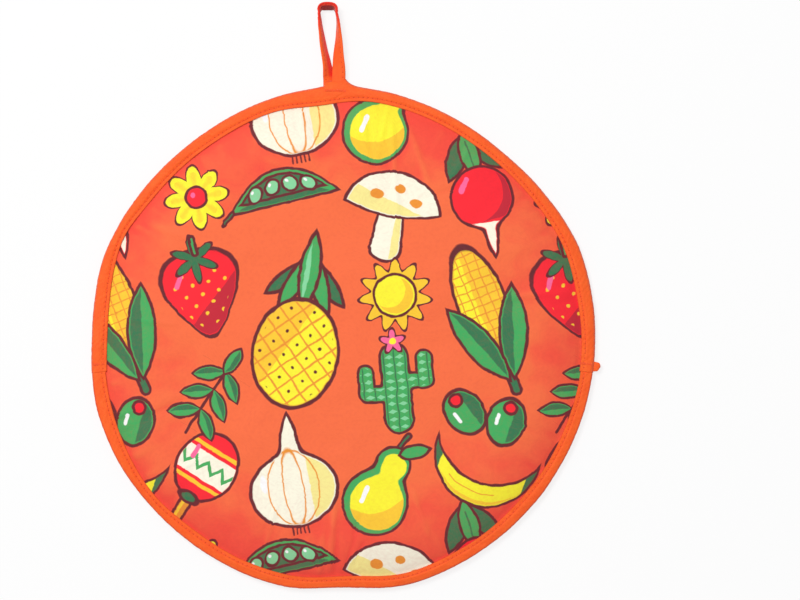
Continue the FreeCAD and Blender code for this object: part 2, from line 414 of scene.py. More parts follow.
def leaf(x, y, half, wide):
    """A leaf with a point at each end, half its length tall and wide its half width."""
    arc = (half * half + wide * wide) / (2 * wide)
    return far(abs(x) + (arc - wide), y) - arc


def either(one, other):
    return one.math("MINIMUM", other)


def both(one, other):
    return one.math("MAXIMUM", other)


def melt(one, other, softness):
    return one.math("SMOOTH_MIN", other, softness)


def lean(x, y, degrees):
    """The place (x, y) in axes that are turned by degrees."""
    c, s = math.cos(math.radians(degrees)), math.sin(math.radians(degrees))
    return x * c + y * s, y * c - x * s


BROWN = linear(98, 36, 42)
RED = linear(255, 38, 52)
DEEP_RED = linear(196, 36, 54)
PINK = linear(255, 108, 160)
YELLOW = linear(255, 246, 52)
GOLD = linear(255, 205, 52)
AMBER = linear(240, 150, 50)
CREAM = linear(255, 250, 228)
STRAW = linear(252, 238, 150)
GREEN = linear(66, 172, 94)
DARK_GREEN = linear(52, 118, 78)
MINT = linear(134, 216, 160)
WHITE = linear(255, 255, 255)
OUTLINE = 1.7
INK_EDGE = 0.22


class Print:
    """The colour of a printed cloth, laid on motif by motif."""

    def __init__(self, tree, ground):
        self.tree = tree
        self.colour = ground

    def lay(self, shape, colour):
        """Prints a colour wherever shape, a distance in millimetres, is below zero."""
        cover = shape.math("MULTIPLY_ADD", -0.5 / INK_EDGE, 0.5, clamp=True)
        self.colour = mix_colour(self.tree, cover, self.colour, colour)

    def figure(self, shape, colour):
        """A shape filled with a colour, inside a brown outline."""
        self.lay(shape - OUTLINE / 2, BROWN)
        self.lay(shape + OUTLINE / 2, colour)


print(f"outlines {OUTLINE} mm wide")

# %% [markdown]
# ## The printed cloth: motifs
# Each motif is a function that draws itself round its own middle, in millimetres, with the darker and
# lighter tones that make a flat print look round.

# %% Draw the fruit
def strawberry(ink, x, y):
    berry = oval(x / (y * 0.022 + 1.0), y, 19, 24)
    ink.figure(berry, RED)
    ink.lay(both(berry + 1.2, y - x * 0.8 + 8), DEEP_RED)
    seeds = far(x.every(9), y.every(11)) - 0.95
    ink.lay(both(seeds, berry + 4), GOLD)
    between = far((x + 4.5).every(9), (y + 5.5).every(11)) - 0.95
    ink.lay(both(between, berry + 4), GOLD)
    u, v = lean(x + 11, y - 9, -28)
    ink.lay(bar(u, v, 3.2, 1.3), PINK)
    around = x.math("ARCTAN2", y - 19)
    cap = far(x, y - 19) - ((around * 6.0).math("COSINE") * 4.5 + 8.5)
    ink.figure(cap, DARK_GREEN)
    ink.figure(bar(x - 1, y - 26, 4, 1.4), GREEN)


def pineapple(ink, x, y):
    for reach, tilt, off in ((15, 48, 8.5), (19, 24, 5.0)):
        u, v = lean(abs(x) - off, y - 27, tilt)
        blade = leaf(u, v, reach, 4.4)
        ink.figure(blade, GREEN if tilt < 40 else DARK_GREEN)
    ink.figure(leaf(x, y - 31, 20, 5.0), GREEN)
    ink.lay(leaf(x + 1.2, y - 30, 15, 1.3), MINT)
    fruit = oval(x, y + 10, 21, 27)
    ink.figure(fruit, GOLD)
    ink.lay(both(fruit + 1.3, y * 0.5 - x - 1), YELLOW)
    u, v = lean(x, y, 45)
    ink.lay(both(fruit + 1.0, either(u.every(8.2), v.every(8.2)) - 0.45), AMBER)
    ink.lay(both(fruit + 2.5, far((u + 4.1).every(8.2), (v + 4.1).every(8.2)) - 0.8), BROWN)


def pear(ink, x, y):
    fruit = melt(disc(x, y + 11, 20), disc(x - 1.5, y - 15, 10.5), 12)
    ink.figure(bar(x - y * 0.25 + 5, y - 29, 5.5, 1.5), DARK_GREEN)
    ink.figure(fruit, GREEN)
    core = melt(disc(x - 1.2, y + 11, 16.5), disc(x - 2.5, y - 14, 7.6), 12)
    ink.lay(core, YELLOW)
    ink.lay(both(core, -disc(x + 9, y - 5, 25)), GOLD)
    u, v = lean(x - 11, y - 27, -55)
    ink.figure(leaf(u, v, 10, 4.2), GREEN)
    ink.lay(bar(x + 8, y + 9, 4.5, 1.5), WHITE)


def banana(ink, x, y):
    fruit = both(disc(x, y - 20, 32), -disc(x, y - 38, 36))
    ink.figure(fruit, YELLOW)
    ink.lay(both(fruit + 1.3, -disc(x, y - 26, 34.5)), GOLD)
    ink.lay(both(fruit + 0.6, -abs(x) + 26.5), DARK_GREEN)
    ridge = both(abs(disc(x, y - 32, 36)) - 0.3, abs(x + 4) - 15)
    ink.lay(both(ridge, fruit + 1.0), AMBER)


def olives(ink, x, y):
    for across, up, tilt in ((-11, 4, 30), (12, -5, -25)):
        u, v = lean(x - across, y - up, tilt)
        olive = oval(u, v, 11, 14)
        ink.figure(olive, GREEN)
        ink.lay(both(olive + 1.4, -u + 3.0), DARK_GREEN)
        ink.figure(disc(u, v - 8.5, 3.6), RED)
        ink.lay(bar(u + 5.5, v, 2.6, 1.0), WHITE)


FRUIT = (strawberry, pineapple, pear, banana, olives)
print("fruit:", [draw.__name__ for draw in FRUIT])

# %% [markdown]
# ## The printed cloth: vegetables
# Rows of kernels, peas or seeds are one shape that repeats, cut off by the shape that holds them.

# %% Draw the vegetables
def corn(ink, x, y):
    cob = oval(x, y - 5, 14, 35)
    ink.figure(cob, GOLD)
    ink.lay(both(cob + 1.4, x + 3), YELLOW)
    ink.lay(both(cob + 0.9, either(x.every(5.4) - 0.35, y.every(5.0) - 0.35)), AMBER)
    ink.figure(bar(x, y + 43, 4, 2.6), DARK_GREEN)
    u, v = lean(abs(x) - 10.5, y + 15, -20)
    husk = leaf(u, v, 27, 8.0)
    ink.figure(husk, GREEN)
    ink.lay(both(husk + 1.5, u), DARK_GREEN)


def pea_pod(ink, x, y):
    bent = y + x * x * 0.009 - 3.0
    pod = leaf(bent, x, 34, 10.5)
    ink.figure(pod, GREEN)
    ink.lay(both(pod + 1.2, bent + 2.0), DARK_GREEN)
    inside = leaf(bent - 0.8, x, 27, 6.6)
    ink.figure(inside, DARK_GREEN)
    pea = both(far((x + 5.6).every(11.2), bent - 0.8) - 4.6, abs(x) - 21.5)
    ink.figure(pea, MINT)
    ink.lay(both(far((x + 7.0).every(11.2), bent - 2.6) - 1.0, abs(x) - 21), WHITE)
    ink.figure(bar(bent, x + 36.5, 3, 1.3), DARK_GREEN)


def onion(ink, x, y):
    bulb = melt(oval(x, y + 6, 24, 20), leaf(x - y * 0.08, y - 17, 19, 5), 9)
    ink.figure(bulb, CREAM)
    ink.lay(both(bulb + 1.4, -x + 9.0), STRAW)
    ink.lay(both(bulb + 1.2, abs(oval(x, y + 5, 14, 20.5)) - 0.35), AMBER)
    ink.lay(both(bulb + 1.2, abs(oval(x, y + 5, 5.5, 21)) - 0.35), AMBER)
    root = both(bar(x.every(2.2), y + 28, 2.2, 0.45), abs(x) - 5)
    ink.lay(root, BROWN)
    ink.lay(oval(x + 16, y, 1.8, 5.2), WHITE)


def mushroom(ink, x, y):
    stalk = bar(x / (y * -0.012 + 0.86), y + 14, 9, 8.5)
    ink.figure(stalk, CREAM)
    ink.lay(both(stalk + 1.3, -x + 3.0), STRAW)
    cap = both(oval(x, y + 1, 30, 25), -y - 1.5 + x * x * 0.006 - 2.0)
    ink.figure(cap, CREAM)
    ink.lay(both(cap + 1.4, x * 0.3 + y - 5.5), STRAW)
    for across, up, wide in ((-11, 9, 4.2), (3, 14, 3.4), (14, 7, 3.8)):
        ink.lay(oval(x - across, y - up, wide, wide * 0.75), AMBER)


def radish(ink, x, y):
    for tilt, off, tone in ((34, 8, DARK_GREEN), (0, 0, GREEN)):
        u, v = lean(abs(x) - off, y - 26, tilt)
        ink.figure(leaf(u, v, 16, 6), tone)
    ink.lay(bar(x, y - 24, 10, 0.5), DARK_GREEN)
    root = melt(disc(x, y + 2, 19), leaf(x - y * 0.1 - 2, y + 26, 14, 3.6), 8)
    ink.figure(root, RED)
    ink.lay(both(root + 1.2, y + 18 + x * 0.15), CREAM)
    ink.lay(both(root + 1.2, both(-disc(x + 6, y - 3, 20), -y - 17.0)), DEEP_RED)
    u, v = lean(x + 9, y - 8, -40)
    ink.lay(bar(u, v, 3.6, 1.7), PINK)


VEGETABLES = (corn, pea_pod, onion, mushroom, radish)
print("vegetables:", [draw.__name__ for draw in VEGETABLES])

# %% [markdown]
# ## The printed cloth: the rest of the garden
# Petals and rays are a circle whose radius swings as the angle goes round, so one line draws them all.

# %% Draw the flowers and the rest
def cactus(ink, x, y):
    trunk = bar(x, y, 20, 9)
    left = either(bar(x + 19, y - 4, 7, 5), bar(y + 3, x + 13, 6, 5))
    right = either(bar(x - 19, y - 11, 7, 5), bar(y - 4, x - 13, 6, 5))
    plant = melt(melt(trunk, left, 3), right, 3)
    ink.figure(plant, GREEN)
    ink.lay(both(plant + 1.2, x.every(7.0) - 0.4), DARK_GREEN)
    ink.lay(both(plant + 1.6, (x - 3.5).every(7.0) - 0.5 + (y.every(5.0) - 1.2) * 2.0), MINT)
    bloom = far(x, y - 30) - ((x.math("ARCTAN2", y - 30) * 5.0).math("COSINE") * 2.2 + 6.2)
    ink.figure(bloom, PINK)
    ink.lay(disc(x, y - 30, 2.2), YELLOW)


def flower(ink, x, y):
    around = x.math("ARCTAN2", y)
    petals = far(x, y) - ((around * 4.0).math("COSINE").math("ABSOLUTE") * 8.0 + 12.0)
    ink.figure(petals, YELLOW)
    ink.lay(both(petals + 4.2, (around * 4.0).math("COSINE").math("ABSOLUTE") * -1.0 + 0.93), GOLD)
    ink.figure(disc(x, y, 6.5), RED)
    ink.lay(far(x + 1.6, y - 1.8) - 1.5, PINK)


def sun(ink, x, y):
    around = x.math("ARCTAN2", y)
    rays = far(x, y) - ((around * 11.0).math("COSINE") * 3.6 + 19.0)
    ink.figure(rays, GOLD)
    ink.figure(disc(x, y, 13), YELLOW)
    ink.lay(both(disc(x, y, 11.2), -disc(x + 4, y - 3, 10.5)), GOLD)


def sprig(ink, x, y):
    ink.lay(bar(x, y + 4, 27, 1.1), BROWN)
    u, v = lean(abs(x) - 9.5, (y + 10).math("FLOORED_MODULO", 16.0) - 8.0, 52)
    blades = leaf(u, v, 12.5, 5.0)
    length = abs(y + 2) - 24
    ink.lay(both(blades - OUTLINE / 2, length), BROWN)
    ink.lay(both(blades + OUTLINE / 2, length), GREEN)
    ink.lay(both(both(blades + 1.4, length), -u), DARK_GREEN)
    tip = leaf(x, y - 30, 11, 5)
    ink.figure(tip, GREEN)
    ink.lay(both(tip + 1.4, -x), DARK_GREEN)


def maraca(ink, x, y):
    ink.figure(bar(x, y + 23, 17, 3.4), AMBER)
    ink.lay(bar(x + 1.2, y + 23, 16, 0.9), GOLD)
    head = oval(x, y - 16, 18.5, 22)
    ink.figure(head, RED)
    ink.lay(both(head + 1.0, abs(y - 16) - 8.0), CREAM)
    zigzag = abs(y - 16 + x.every(9.0) * 1.4 - 3.2) - 1.6
    ink.lay(both(both(zigzag, head + 1.0), abs(y - 16) - 7.4), GREEN)
    ink.lay(both(head + 1.0, abs(abs(y - 16) - 11.5) - 1.2), GOLD)
    ink.figure(oval(x, y + 5.5, 6.2, 3.0), DARK_GREEN)
    ink.lay(bar(x + 11, y - 21, 3.2, 1.5), PINK)


OTHERS = (cactus, flower, sun, sprig, maraca)
print("others:", [draw.__name__ for draw in OTHERS])

# %% [markdown]
# ## The printed cloth: layout and ground
# The motifs repeat on a square tile, each at its own place and tilt. `WRAP` folds the whole cloth back
# onto one tile, so one motif serves every repeat. The ground goes from orange in the middle of the panel
# to red near the rim and towards the mouth. That red is painted shade, where the domed cloth slopes away.

# %% Print the cloth
TILE = 224.0
MOTIFS = [  # motif, place of its middle on the tile in mm, tilt in degrees, size
    (pineapple, -26, 4, -10, 1.22),
    (corn, 87, 16, 22, 1.06),
    (onion, -30, -84, 10, 1.1),
    (mushroom, 30, 78, -10, 0.98),
    (pear, 24, -88, -22, 0.98),
    (radish, 84, 88, 16, 0.98),
    (strawberry, -84, 28, 14, 1.12),
    (maraca, -90, -90, -32, 0.98),
    (cactus, 33, -29, 5, 0.94),
    (pea_pod, -36, 90, 14, 0.98),
    (sun, 32, 27, 0, 0.98),
    (olives, 86, -46, 8, 1.04),
    (sprig, -80, -34, -34, 0.84),
    (flower, -88, 86, 10, 0.98),
    (banana, 82, -88, -18, 1.0),
]
GROUND = linear(250, 112, 66)
# The ground's colour in the painted shade near the rim.
GROUND_IN_RIM_SHADE = linear(250, 78, 60)
RIM_SHADE_FROM = 88
RIM_SHADE_BY = 156
# The clouds move the edge of the painted rim shade in and out.
GROUND_CLOUDS = [(45, 70, 2.0), (13, 34, 4.0)]  # size in mm, how far they move the red in mm, and detail
WOBBLE = 2.2
WOBBLE_LENGTH = 11.0
PRINT_YARN = 0.42
PRINT_WEAVE = 0.05


def motif_place(tree, place, middle, tilt, size):
    """The place on the cloth from a motif's own middle, wrapped onto one tile, as two fields."""
    moved = add_node(tree, "VectorMath", {0: place, 1: (*middle, 0)}, operation="SUBTRACT").outputs[0]
    tile = {0: moved, 1: (TILE / 2,) * 3, 2: (-TILE / 2,) * 3}
    wrapped = add_node(tree, "VectorMath", tile, operation="WRAP").outputs[0]
    axes = {0: wrapped, "Rotation": (0, 0, math.radians(tilt)), "Scale": (size,) * 3}
    return parts_of(tree, add_node(tree, "Mapping", axes, vector_type="TEXTURE").outputs[0])[:2]


def wobbly(tree, place):
    """The place moved a little to and fro, so that no printed line is ruled."""
    noise = add_node(tree, "TexNoise", {"Scale": 1 / WOBBLE_LENGTH, "Vector": place})
    sway = {0: noise.outputs["Color"], 1: (WOBBLE, WOBBLE, 0), 2: place}
    return add_node(tree, "VectorMath", sway, operation="MULTIPLY_ADD").outputs[0]


def printed_cloth(name):
    """The printed cotton: the ground, the motifs, ink soaked in unevenly, and painted shade near the rim."""
    material, tree, shader, place = start_material(name, roughness=0.72, sheen=0.15)
    x, y, shade_distance = parts_of(tree, place)
    for size, reach, detail in GROUND_CLOUDS:
        shade_distance = shade_distance + (cloudy(tree, place, size, detail) - 0.5) * reach
    painted_rim_shade = shade_distance.ramp(RIM_SHADE_FROM, RIM_SHADE_BY)
    # The ground turns red in painted shade near the rim and in the furrows.
    ink = Print(tree, mix_colour(tree, painted_rim_shade, GROUND, GROUND_IN_RIM_SHADE))
    unruled = wobbly(tree, place)
    for draw, across, up, tilt, size in MOTIFS:
        draw(ink, *motif_place(tree, unruled, (across, up), tilt, size))
    # Random mottled ink, and painted shade that darkens the motifs towards the rim.
    mottle_and_rim_shade = (cloudy(tree, place, 2.4, detail=3.0) * 0.3 + painted_rim_shade * 0.08).math("ADD", -0.13, clamp=True)
    plug(tree, mix_colour(tree, mottle_and_rim_shade, ink.colour, DEEP_RED), shader.inputs["Base Color"])
    add_bump(tree, shader, plain_weave(x, y, PRINT_YARN), PRINT_WEAVE)
    print(f"{name}: {len(MOTIFS)} motifs, {len(tree.nodes)} nodes")
    return material


front_print = printed_cloth("front_print")

# %% [markdown]
# ## Gingham, tape, thread and wadding
# Gingham isn't printed: red and white yarns cross. A square is red where both are red, white where both
# are white and pink where they differ, with a stronger pink where the warp is the red one. The binding is
# plain cotton cut on the bias, so its yarns run at 45 degrees to its edges.

# %% Weave the gingham
SQUARE = 6.0
SQUARE_EDGE = 0.15
LINING_YARN = 0.4
LINING_WEAVE = 0.06
LINING_TURN = 8
CHECK_RED = linear(193, 20, 42)
CHECK_WHITE = linear(242, 236, 248)
WARP_PINK = linear(210, 84, 98)
WEFT_PINK = linear(216, 162, 178)
YARN_SHADE = linear(120, 30, 50)


def gingham(name):
    """Yarn-dyed checks, with their warp turned from the cloth's Y axis."""
    material, tree, shader, place = start_material(name, roughness=0.78, sheen=0.12)
    x, y = parts_of(tree, turned(tree, place, LINING_TURN))[:2]
    warp, weft = [
        yarns.every(2 * SQUARE).ramp(SQUARE / 2 - SQUARE_EDGE, SQUARE / 2 + SQUARE_EDGE) for yarns in (x, y)
    ]
    white_warp = mix_colour(tree, weft, CHECK_WHITE, WEFT_PINK)
    red_warp = mix_colour(tree, weft, WARP_PINK, CHECK_RED)
    checks = mix_colour(tree, warp, white_warp, red_warp)
    weave = plain_weave(x, y, LINING_YARN)
    # Painted shade between the yarns, over a random uneven tone.
    shade = (weave * -0.22 + cloudy(tree, place, 9)).math("MULTIPLY_ADD", 0.3, -0.03, clamp=True)
    plug(tree, mix_colour(tree, shade, checks, YARN_SHADE), shader.inputs["Base Color"])
    add_bump(tree, shader, weave, LINING_WEAVE)
    return material


lining_check = gingham("lining_check")
print(f"checks of {SQUARE:.0f} mm, {len(lining_check.node_tree.nodes)} nodes")

# %% Dye the tape and paint its shade
PAST_LEG = 20.0
STITCH_PITCH = 3.0
STITCH_INSET = 2.3
TAPE_YARN = 0.36
TAPE_WEAVE = 0.11
HOLE_IN = 0.22
HOLE_OUT = 0.6
TAPE_ORANGE = linear(255, 105, 33)
TAPE_DEEP = linear(246, 82, 22)
TAPE_SHADE = linear(196, 40, 14)
# Painted shade on the inside of the hanging loop, deepest at its top.
TAPE_INSIDE_SHADE = linear(242, 42, 16)
TAPE_HOLLOW_SHADE = linear(112, 2, 5)
INSIDE_SHADE_FROM = 22.0
INSIDE_SHADE_SPAN = 10.0


def bias_tape(name):
    """Orange cotton on the bias, a little uneven in dye and in the tension of its yarns.

    The third number of its place is the distance from the sewn edge. On the outer half it is PAST_LEG
    less the distance from the fold. Both edges and the needle holes are painted darker, as shade.
    From 22 on it says how deep a painted shade the tape has, as on the inside of the hanging loop.
    """
    material, tree, shader, place = start_material(name, roughness=0.66, sheen=0.2)
    bias = turned(tree, place, 45)
    u, v = parts_of(tree, bias)[:2]
    drawn_out = add_node(tree, "Mapping", {0: bias, "Scale": (0.18, 1.0, 1.0)}).outputs[0]
    streaks = cloudy(tree, drawn_out, 0.8)
    share = (streaks + cloudy(tree, place, 7) - 0.62).math("MULTIPLY", 1.1, clamp=True)
    along, _, on_tape = parts_of(tree, place)
    hole = far(along.every(STITCH_PITCH), on_tape - STITCH_INSET)
    # Painted shade: along the sewn edge, at the fold and in the needle holes.
    at_edge = (-on_tape).ramp(-0.7, 0.1)
    at_fold = on_tape.ramp(PAST_LEG - 1.5, PAST_LEG + 0.1) - on_tape.ramp(PAST_LEG + 0.3, PAST_LEG + 1)
    at_hole = (-hole).ramp(-HOLE_OUT, -HOLE_IN)
    edge_fold_hole_shade = (at_edge * 0.45).math("MAXIMUM", at_fold * 0.5).math("MAXIMUM", at_hole * 0.6)
    dyed_and_shaded = mix_colour(tree, share, TAPE_ORANGE, TAPE_DEEP)
    dyed_and_shaded = mix_colour(tree, edge_fold_hole_shade, dyed_and_shaded, TAPE_SHADE)
    # The inside of the loop is painted a deeper red, as shade, in two steps.
    for step, tone in enumerate((TAPE_INSIDE_SHADE, TAPE_HOLLOW_SHADE)):
        start = INSIDE_SHADE_FROM + step * INSIDE_SHADE_SPAN
        dyed_and_shaded = mix_colour(tree, on_tape.ramp(start, start + INSIDE_SHADE_SPAN), dyed_and_shaded, tone)
    plug(tree, dyed_and_shaded, shader.inputs["Base Color"])
    add_bump(tree, shader, plain_weave(u, v, TAPE_YARN) * 0.5 + streaks * 0.9, TAPE_WEAVE)
    return material


tape_cotton = bias_tape("tape_cotton")
print(f"a stitch every {STITCH_PITCH:.0f} mm, {len(tape_cotton.node_tree.nodes)} nodes")

# %% Spin the thread and the wadding
THREAD_ORANGE = linear(250, 88, 28)
THREAD_TWIST = 0.55
WADDING_WHITE = linear(240, 238, 232)


def plied_thread(name):
    """Sewing thread: the bump is the slanting grooves between its plies."""
    material, tree, shader, place = start_material(name, roughness=0.45, sheen=0.25)
    shader.inputs["Base Color"].default_value = THREAD_ORANGE
    x, y = parts_of(tree, place)[:2]
    add_bump(tree, shader, ((x + y) * (2 * math.pi / THREAD_TWIST)).math("SINE") * 0.5 + 0.5, 0.05)
    return material


def fibre_wadding(name):
    """Polyester wadding, matt and fluffy."""
    material, tree, shader, place = start_material(name, roughness=0.95, sheen=0.3)
    shader.inputs["Base Color"].default_value = WADDING_WHITE
    add_bump(tree, shader, cloudy(tree, place, 1.5, detail=6.0), 0.4)
    return material


thread_finish = plied_thread("thread_finish")
wadding_finish = fibre_wadding("wadding_finish")
print("finishes:", [finish.name for finish in (thread_finish, wadding_finish)])

# %% [markdown]
# ## The panels
# Each panel has three plies: the printed cloth, wadding and the gingham lining. A round ply needs a grid
# without a pinched pole in its middle, so a square grid is pressed into a disc: its rings of squares
# become rings of the disc. The ply's height then follows the distance in from the rim. It is pressed flat
# under the tape and rises to the middle in one soft curve.

# %% Press a square grid into a disc
TAPE_COVER = 9.5
COVER_BEYOND_LEG = 0.7
EVEN_WITHIN = 45
FRONT_RISE = 33.0
BACK_RISE = 9.0
RISE_POWER = 2.4


def from_rim(inside, angle):
    """The distance in from the rim, shifted so that the tape ends at TAPE_COVER all the way round."""
    shift = tape_leg(angle) + COVER_BEYOND_LEG - TAPE_COVER
    return inside - shift * np.exp(-((inside / EVEN_WITHIN) ** 2))


def disc_grid(cells, inset):
    """A round grid: x, y and the distance in from the rim, all in mm, and the angle in degrees."""
    line = np.linspace(-1, 1, cells + 1)
    across, up = np.meshgrid(line, line)
    wide = np.abs(across) >= np.abs(up)
    ring = np.where(wide, across, up)
    other = np.where(wide, up, across)
    slant = 45 * np.divide(other, ring, out=np.zeros_like(ring), where=ring != 0)
    angle = np.where(wide, slant, 90 - slant) + np.where(ring < 0, 180, 0)
    outline = rim_radius(angle)
    radius = np.abs(ring) * (outline - inset)
    return *polar(radius, angle), from_rim(outline - radius, angle), angle


def past_tape(inside, width):
    """0 where the tape ends and 1 at a width further in, smooth between them."""
    return smooth((inside - TAPE_COVER) / width)


def risen(inside, width):
    """How far a ply has risen from the rim's height to the middle's, 0 to 1."""
    return 1 - (1 - np.clip((inside - TAPE_COVER) / width, 0, 1)) ** RISE_POWER


def between(rim, middle, rise):
    """The height of a ply that rises from the rim's height to the middle's."""
    return rim * (1 - rise) + middle * rise


print("a coarse panel grid has", disc_grid(10, 0)[0].size, "points")

# %% [markdown]
# ## How the cloth puckers
# A seam draws cloth in, so short ridges stand out from the tape and die away. A few strong ones sit where
# the tape was eased round. Many small ones, drawn with a fixed seed, lie between them. Broad ripples come
# from the wadding.

# %% Shape the puckers
STRONG_PUCKERS = [  # angle in degrees, width, reach and height in millimetres
    (101, 2.6, 26, 0.9),
    (97, 1.8, 18, -0.6),
    (86, 2.4, 22, 0.7),
    (84, 5.0, 40, 0.5),
    (128, 2.6, 14, 0.5),
    (165, 3.0, 16, 0.5),
    (38, 2.6, 14, -0.5),
    (12, 2.4, 16, 0.5),
    (264, 2.4, 24, 1.1),
    (268, 2.0, 20, -0.9),
    (260, 3.0, 18, 0.8),
    (215, 3.0, 15, 0.5),
    (300, 3.0, 15, 0.5),
]
SMALL_PUCKERS = 110
SMALL_RANGES = ((0, 360), (1.2, 2.8), (7, 20), (-0.5, 0.5))


def ripples(x, y, length, waves, seed):
    """A smooth random relief of about -1 to 1, made of waves of about one length in all directions."""
    chance = np.random.default_rng(seed)
    total = 0
    for _ in range(waves):
        heading, shift = chance.uniform(0, 2 * math.pi, 2)
        stretch = 2 * math.pi / (length * chance.uniform(0.7, 1.4))
        total = total + np.sin((x * math.cos(heading) + y * math.sin(heading)) * stretch + shift)
    return total / math.sqrt(waves)


def puckers(inside, angle, seed):
    """Ridges and furrows that run in from the tape, in millimetres."""
    chance = np.random.default_rng(seed)
    small = [tuple(chance.uniform(*limits) for limits in SMALL_RANGES) for _ in range(SMALL_PUCKERS)]
    total = np.zeros_like(inside)
    for middle, width, reach, height in STRONG_PUCKERS + small:
        away = np.radians(away_from(angle, middle)) * OUTER_RADIUS
        total += height * np.exp(-((away / width) ** 2) - ((inside - TAPE_COVER) / reach) ** 2)
    return total * past_tape(inside + 1.5, 5)


print(f"{len(STRONG_PUCKERS)} strong puckers and {SMALL_PUCKERS} small ones")

# %% [markdown]
# ## Creases
# A warmer that was folded in its bag keeps straight creases. Each is a low ridge between two points. One
# function adds them to the outer cloths, and later to the tape below the loop.

# %% Crease the cloth
CLOTH_CREASES = [  # both ends, height and width in millimetres
    ((28, 138), (33, 64), 0.85, 1.9),
    ((14, 140), (18, 98), -0.7, 1.8),
    ((37, 133), (53, 88), 0.6, 2.0),
    ((-9, -141), (-5, -94), 0.8, 1.9),
    ((-1, -141), (12, -102), -0.7, 1.8),
    ((-119, 70), (-68, 50), 0.6, 2.2),
    ((120, -60), (76, -38), -0.6, 2.2),
    ((128, 28), (82, 22), 0.6, 2.0),
    ((-126, -52), (-84, -30), -0.6, 2.2),
    ((-2, -142), (6, -117), 0.6, 1.2),
    ((4, -142), (13, -121), -0.6, 1.2),
    ((26, 139), (22, 118), 0.6, 1.2),
    ((-20, 138), (-17, 121), -0.6, 1.2),
    ((-58, 112), (-16, 96), 0.45, 1.4),
    ((42, 82), (84, 96), -0.5, 1.4),
    ((-82, 96), (-72, 62), 0.5, 1.5),
    ((-108, -84), (-74, -66), 0.5, 1.5),
    ((52, -122), (40, -88), 0.6, 1.6),
    ((96, -96), (62, -72), -0.5, 1.5),
    ((-48, -128), (-40, -98), 0.5, 1.5),
    ((78, 118), (62, 92), 0.55, 1.4),
    ((-134, 12), (-98, 8), 0.5, 1.6),
]
QUILT_REACH = 30


def creases(x, y, lines):
    """The sum of straight creases, each given by both ends, its height and its width."""
    total = 0
    for (x0, y0), (x1, y1), height, width in lines:
        length = math.hypot(x1 - x0, y1 - y0)
        along = ((x - x0) * (x1 - x0) + (y - y0) * (y1 - y0)) / length
        away = ((x - x0) * (y1 - y0) - (y - y0) * (x1 - x0)) / length
        ends = smooth(along / length * 5) * smooth((length - along) / length * 5)
        total = total + height * ends * np.exp(-((away / width) ** 2))
    return total


def quilted(x, y, inside, length, seed):
    """The broad ripples of the wadding below a lining, which die away at the tape."""
    return 0.3 * ripples(x, y, length, 8, seed) * past_tape(inside, QUILT_REACH)


def cloth_relief(x, y, inside, angle, seed):
    """How far a panel's outer cloth stands above its even curve, in millimetres."""
    valley = -0.3 * np.exp(-(((inside - TAPE_COVER) / 1.6) ** 2))
    broad = 0.45 * ripples(x, y, 52, 9, seed) + 0.12 * ripples(x, y, 15, 12, seed + 1)
    lines = creases(x, y, CLOTH_CREASES) * past_tape(inside, 6)
    return puckers(inside, angle, seed + 2) + broad * past_tape(inside, QUILT_REACH) + valley + lines


print(f"creases up to {max(abs(height) for *_, height, _ in CLOTH_CREASES):.2f} mm high")

# %% [markdown]
# ## Gathers in the lining
# Where the flap has been opened many times, the front lining is gathered across the fold. The gathers fan
# out from its middle, and the checks crowd together there, because more cloth is drawn in.

# %% Gather the lining
GATHER_X = 4.0
GATHERS = [  # direction from the middle of the fold in degrees, width and height in millimetres
    (-134, 3.4, 1.5),
    (-122, 3.0, -2.2),
    (-110, 2.6, 1.9),
    (-99, 2.3, -2.9),
    (-89, 2.0, 1.8),
    (-79, 2.3, -2.6),
    (-68, 2.6, 1.9),
    (-54, 3.2, -2.0),
    (-42, 3.6, 1.4),
    (70, 3.0, -1.2),
    (92, 2.6, 1.0),
    (112, 3.0, -1.2),
]
GATHER_START = 9
GATHER_REACH = 58
FOLD_RIPPLE = 0.45
FOLD_RIPPLE_LENGTH = 9.5
GATHERED_IN = 0.55
GATHERED_WITHIN = 26


def fold_gathers(x, y):
    """Folds of the front lining that fan out from the middle of the line where the flap bends."""
    across, up = x - GATHER_X, y - FOLD_Y
    reach = np.hypot(across, up)
    heading = np.degrees(np.arctan2(up, across))
    fan = np.zeros_like(reach)
    for direction, width, height in GATHERS:
        turned_away = np.radians(away_from(heading, direction))
        sideways = reach * np.sin(np.clip(turned_away, -1.5, 1.5))
        fan += height * np.exp(-((sideways / (width * (0.6 + reach / 45))) ** 2))
    fan *= smooth(reach / GATHER_START) * np.exp(-((reach / GATHER_REACH) ** 2))
    near = np.exp(-((up / 11) ** 2) - (across / 60) ** 2)
    return fan + near * FOLD_RIPPLE * np.sin(2 * math.pi * (x + y * 0.25) / FOLD_RIPPLE_LENGTH)


def gathered_place(x, y):
    """The place on the front lining: more cloth is drawn in where the gathers meet."""
    across, up = x - GATHER_X, y - FOLD_Y
    drawn_in = GATHERED_IN * np.exp(-(np.hypot(across, up * 0.8) / GATHERED_WITHIN) ** 2)
    return stack(x + across * drawn_in, y + up * drawn_in * 0.3, 0)


print(f"{len(GATHERS)} gathers round x = {GATHER_X:.0f} mm")

# %% [markdown]
# ## Letting the cloth settle
# The larger puckers come from a cloth simulation. A net of squares stands for the cloth. It is held under
# the tape, it has a few percent more length than its outline where it is eased, and the wadding presses it
# up. What settles is used as relief only: the mean rise at each distance from the rim comes off again, so
# that the panel keeps its height and every ply can read the same puckers from it. There are two nets, one
# for the outer cloths and one for the linings. Together they take about seventeen seconds.

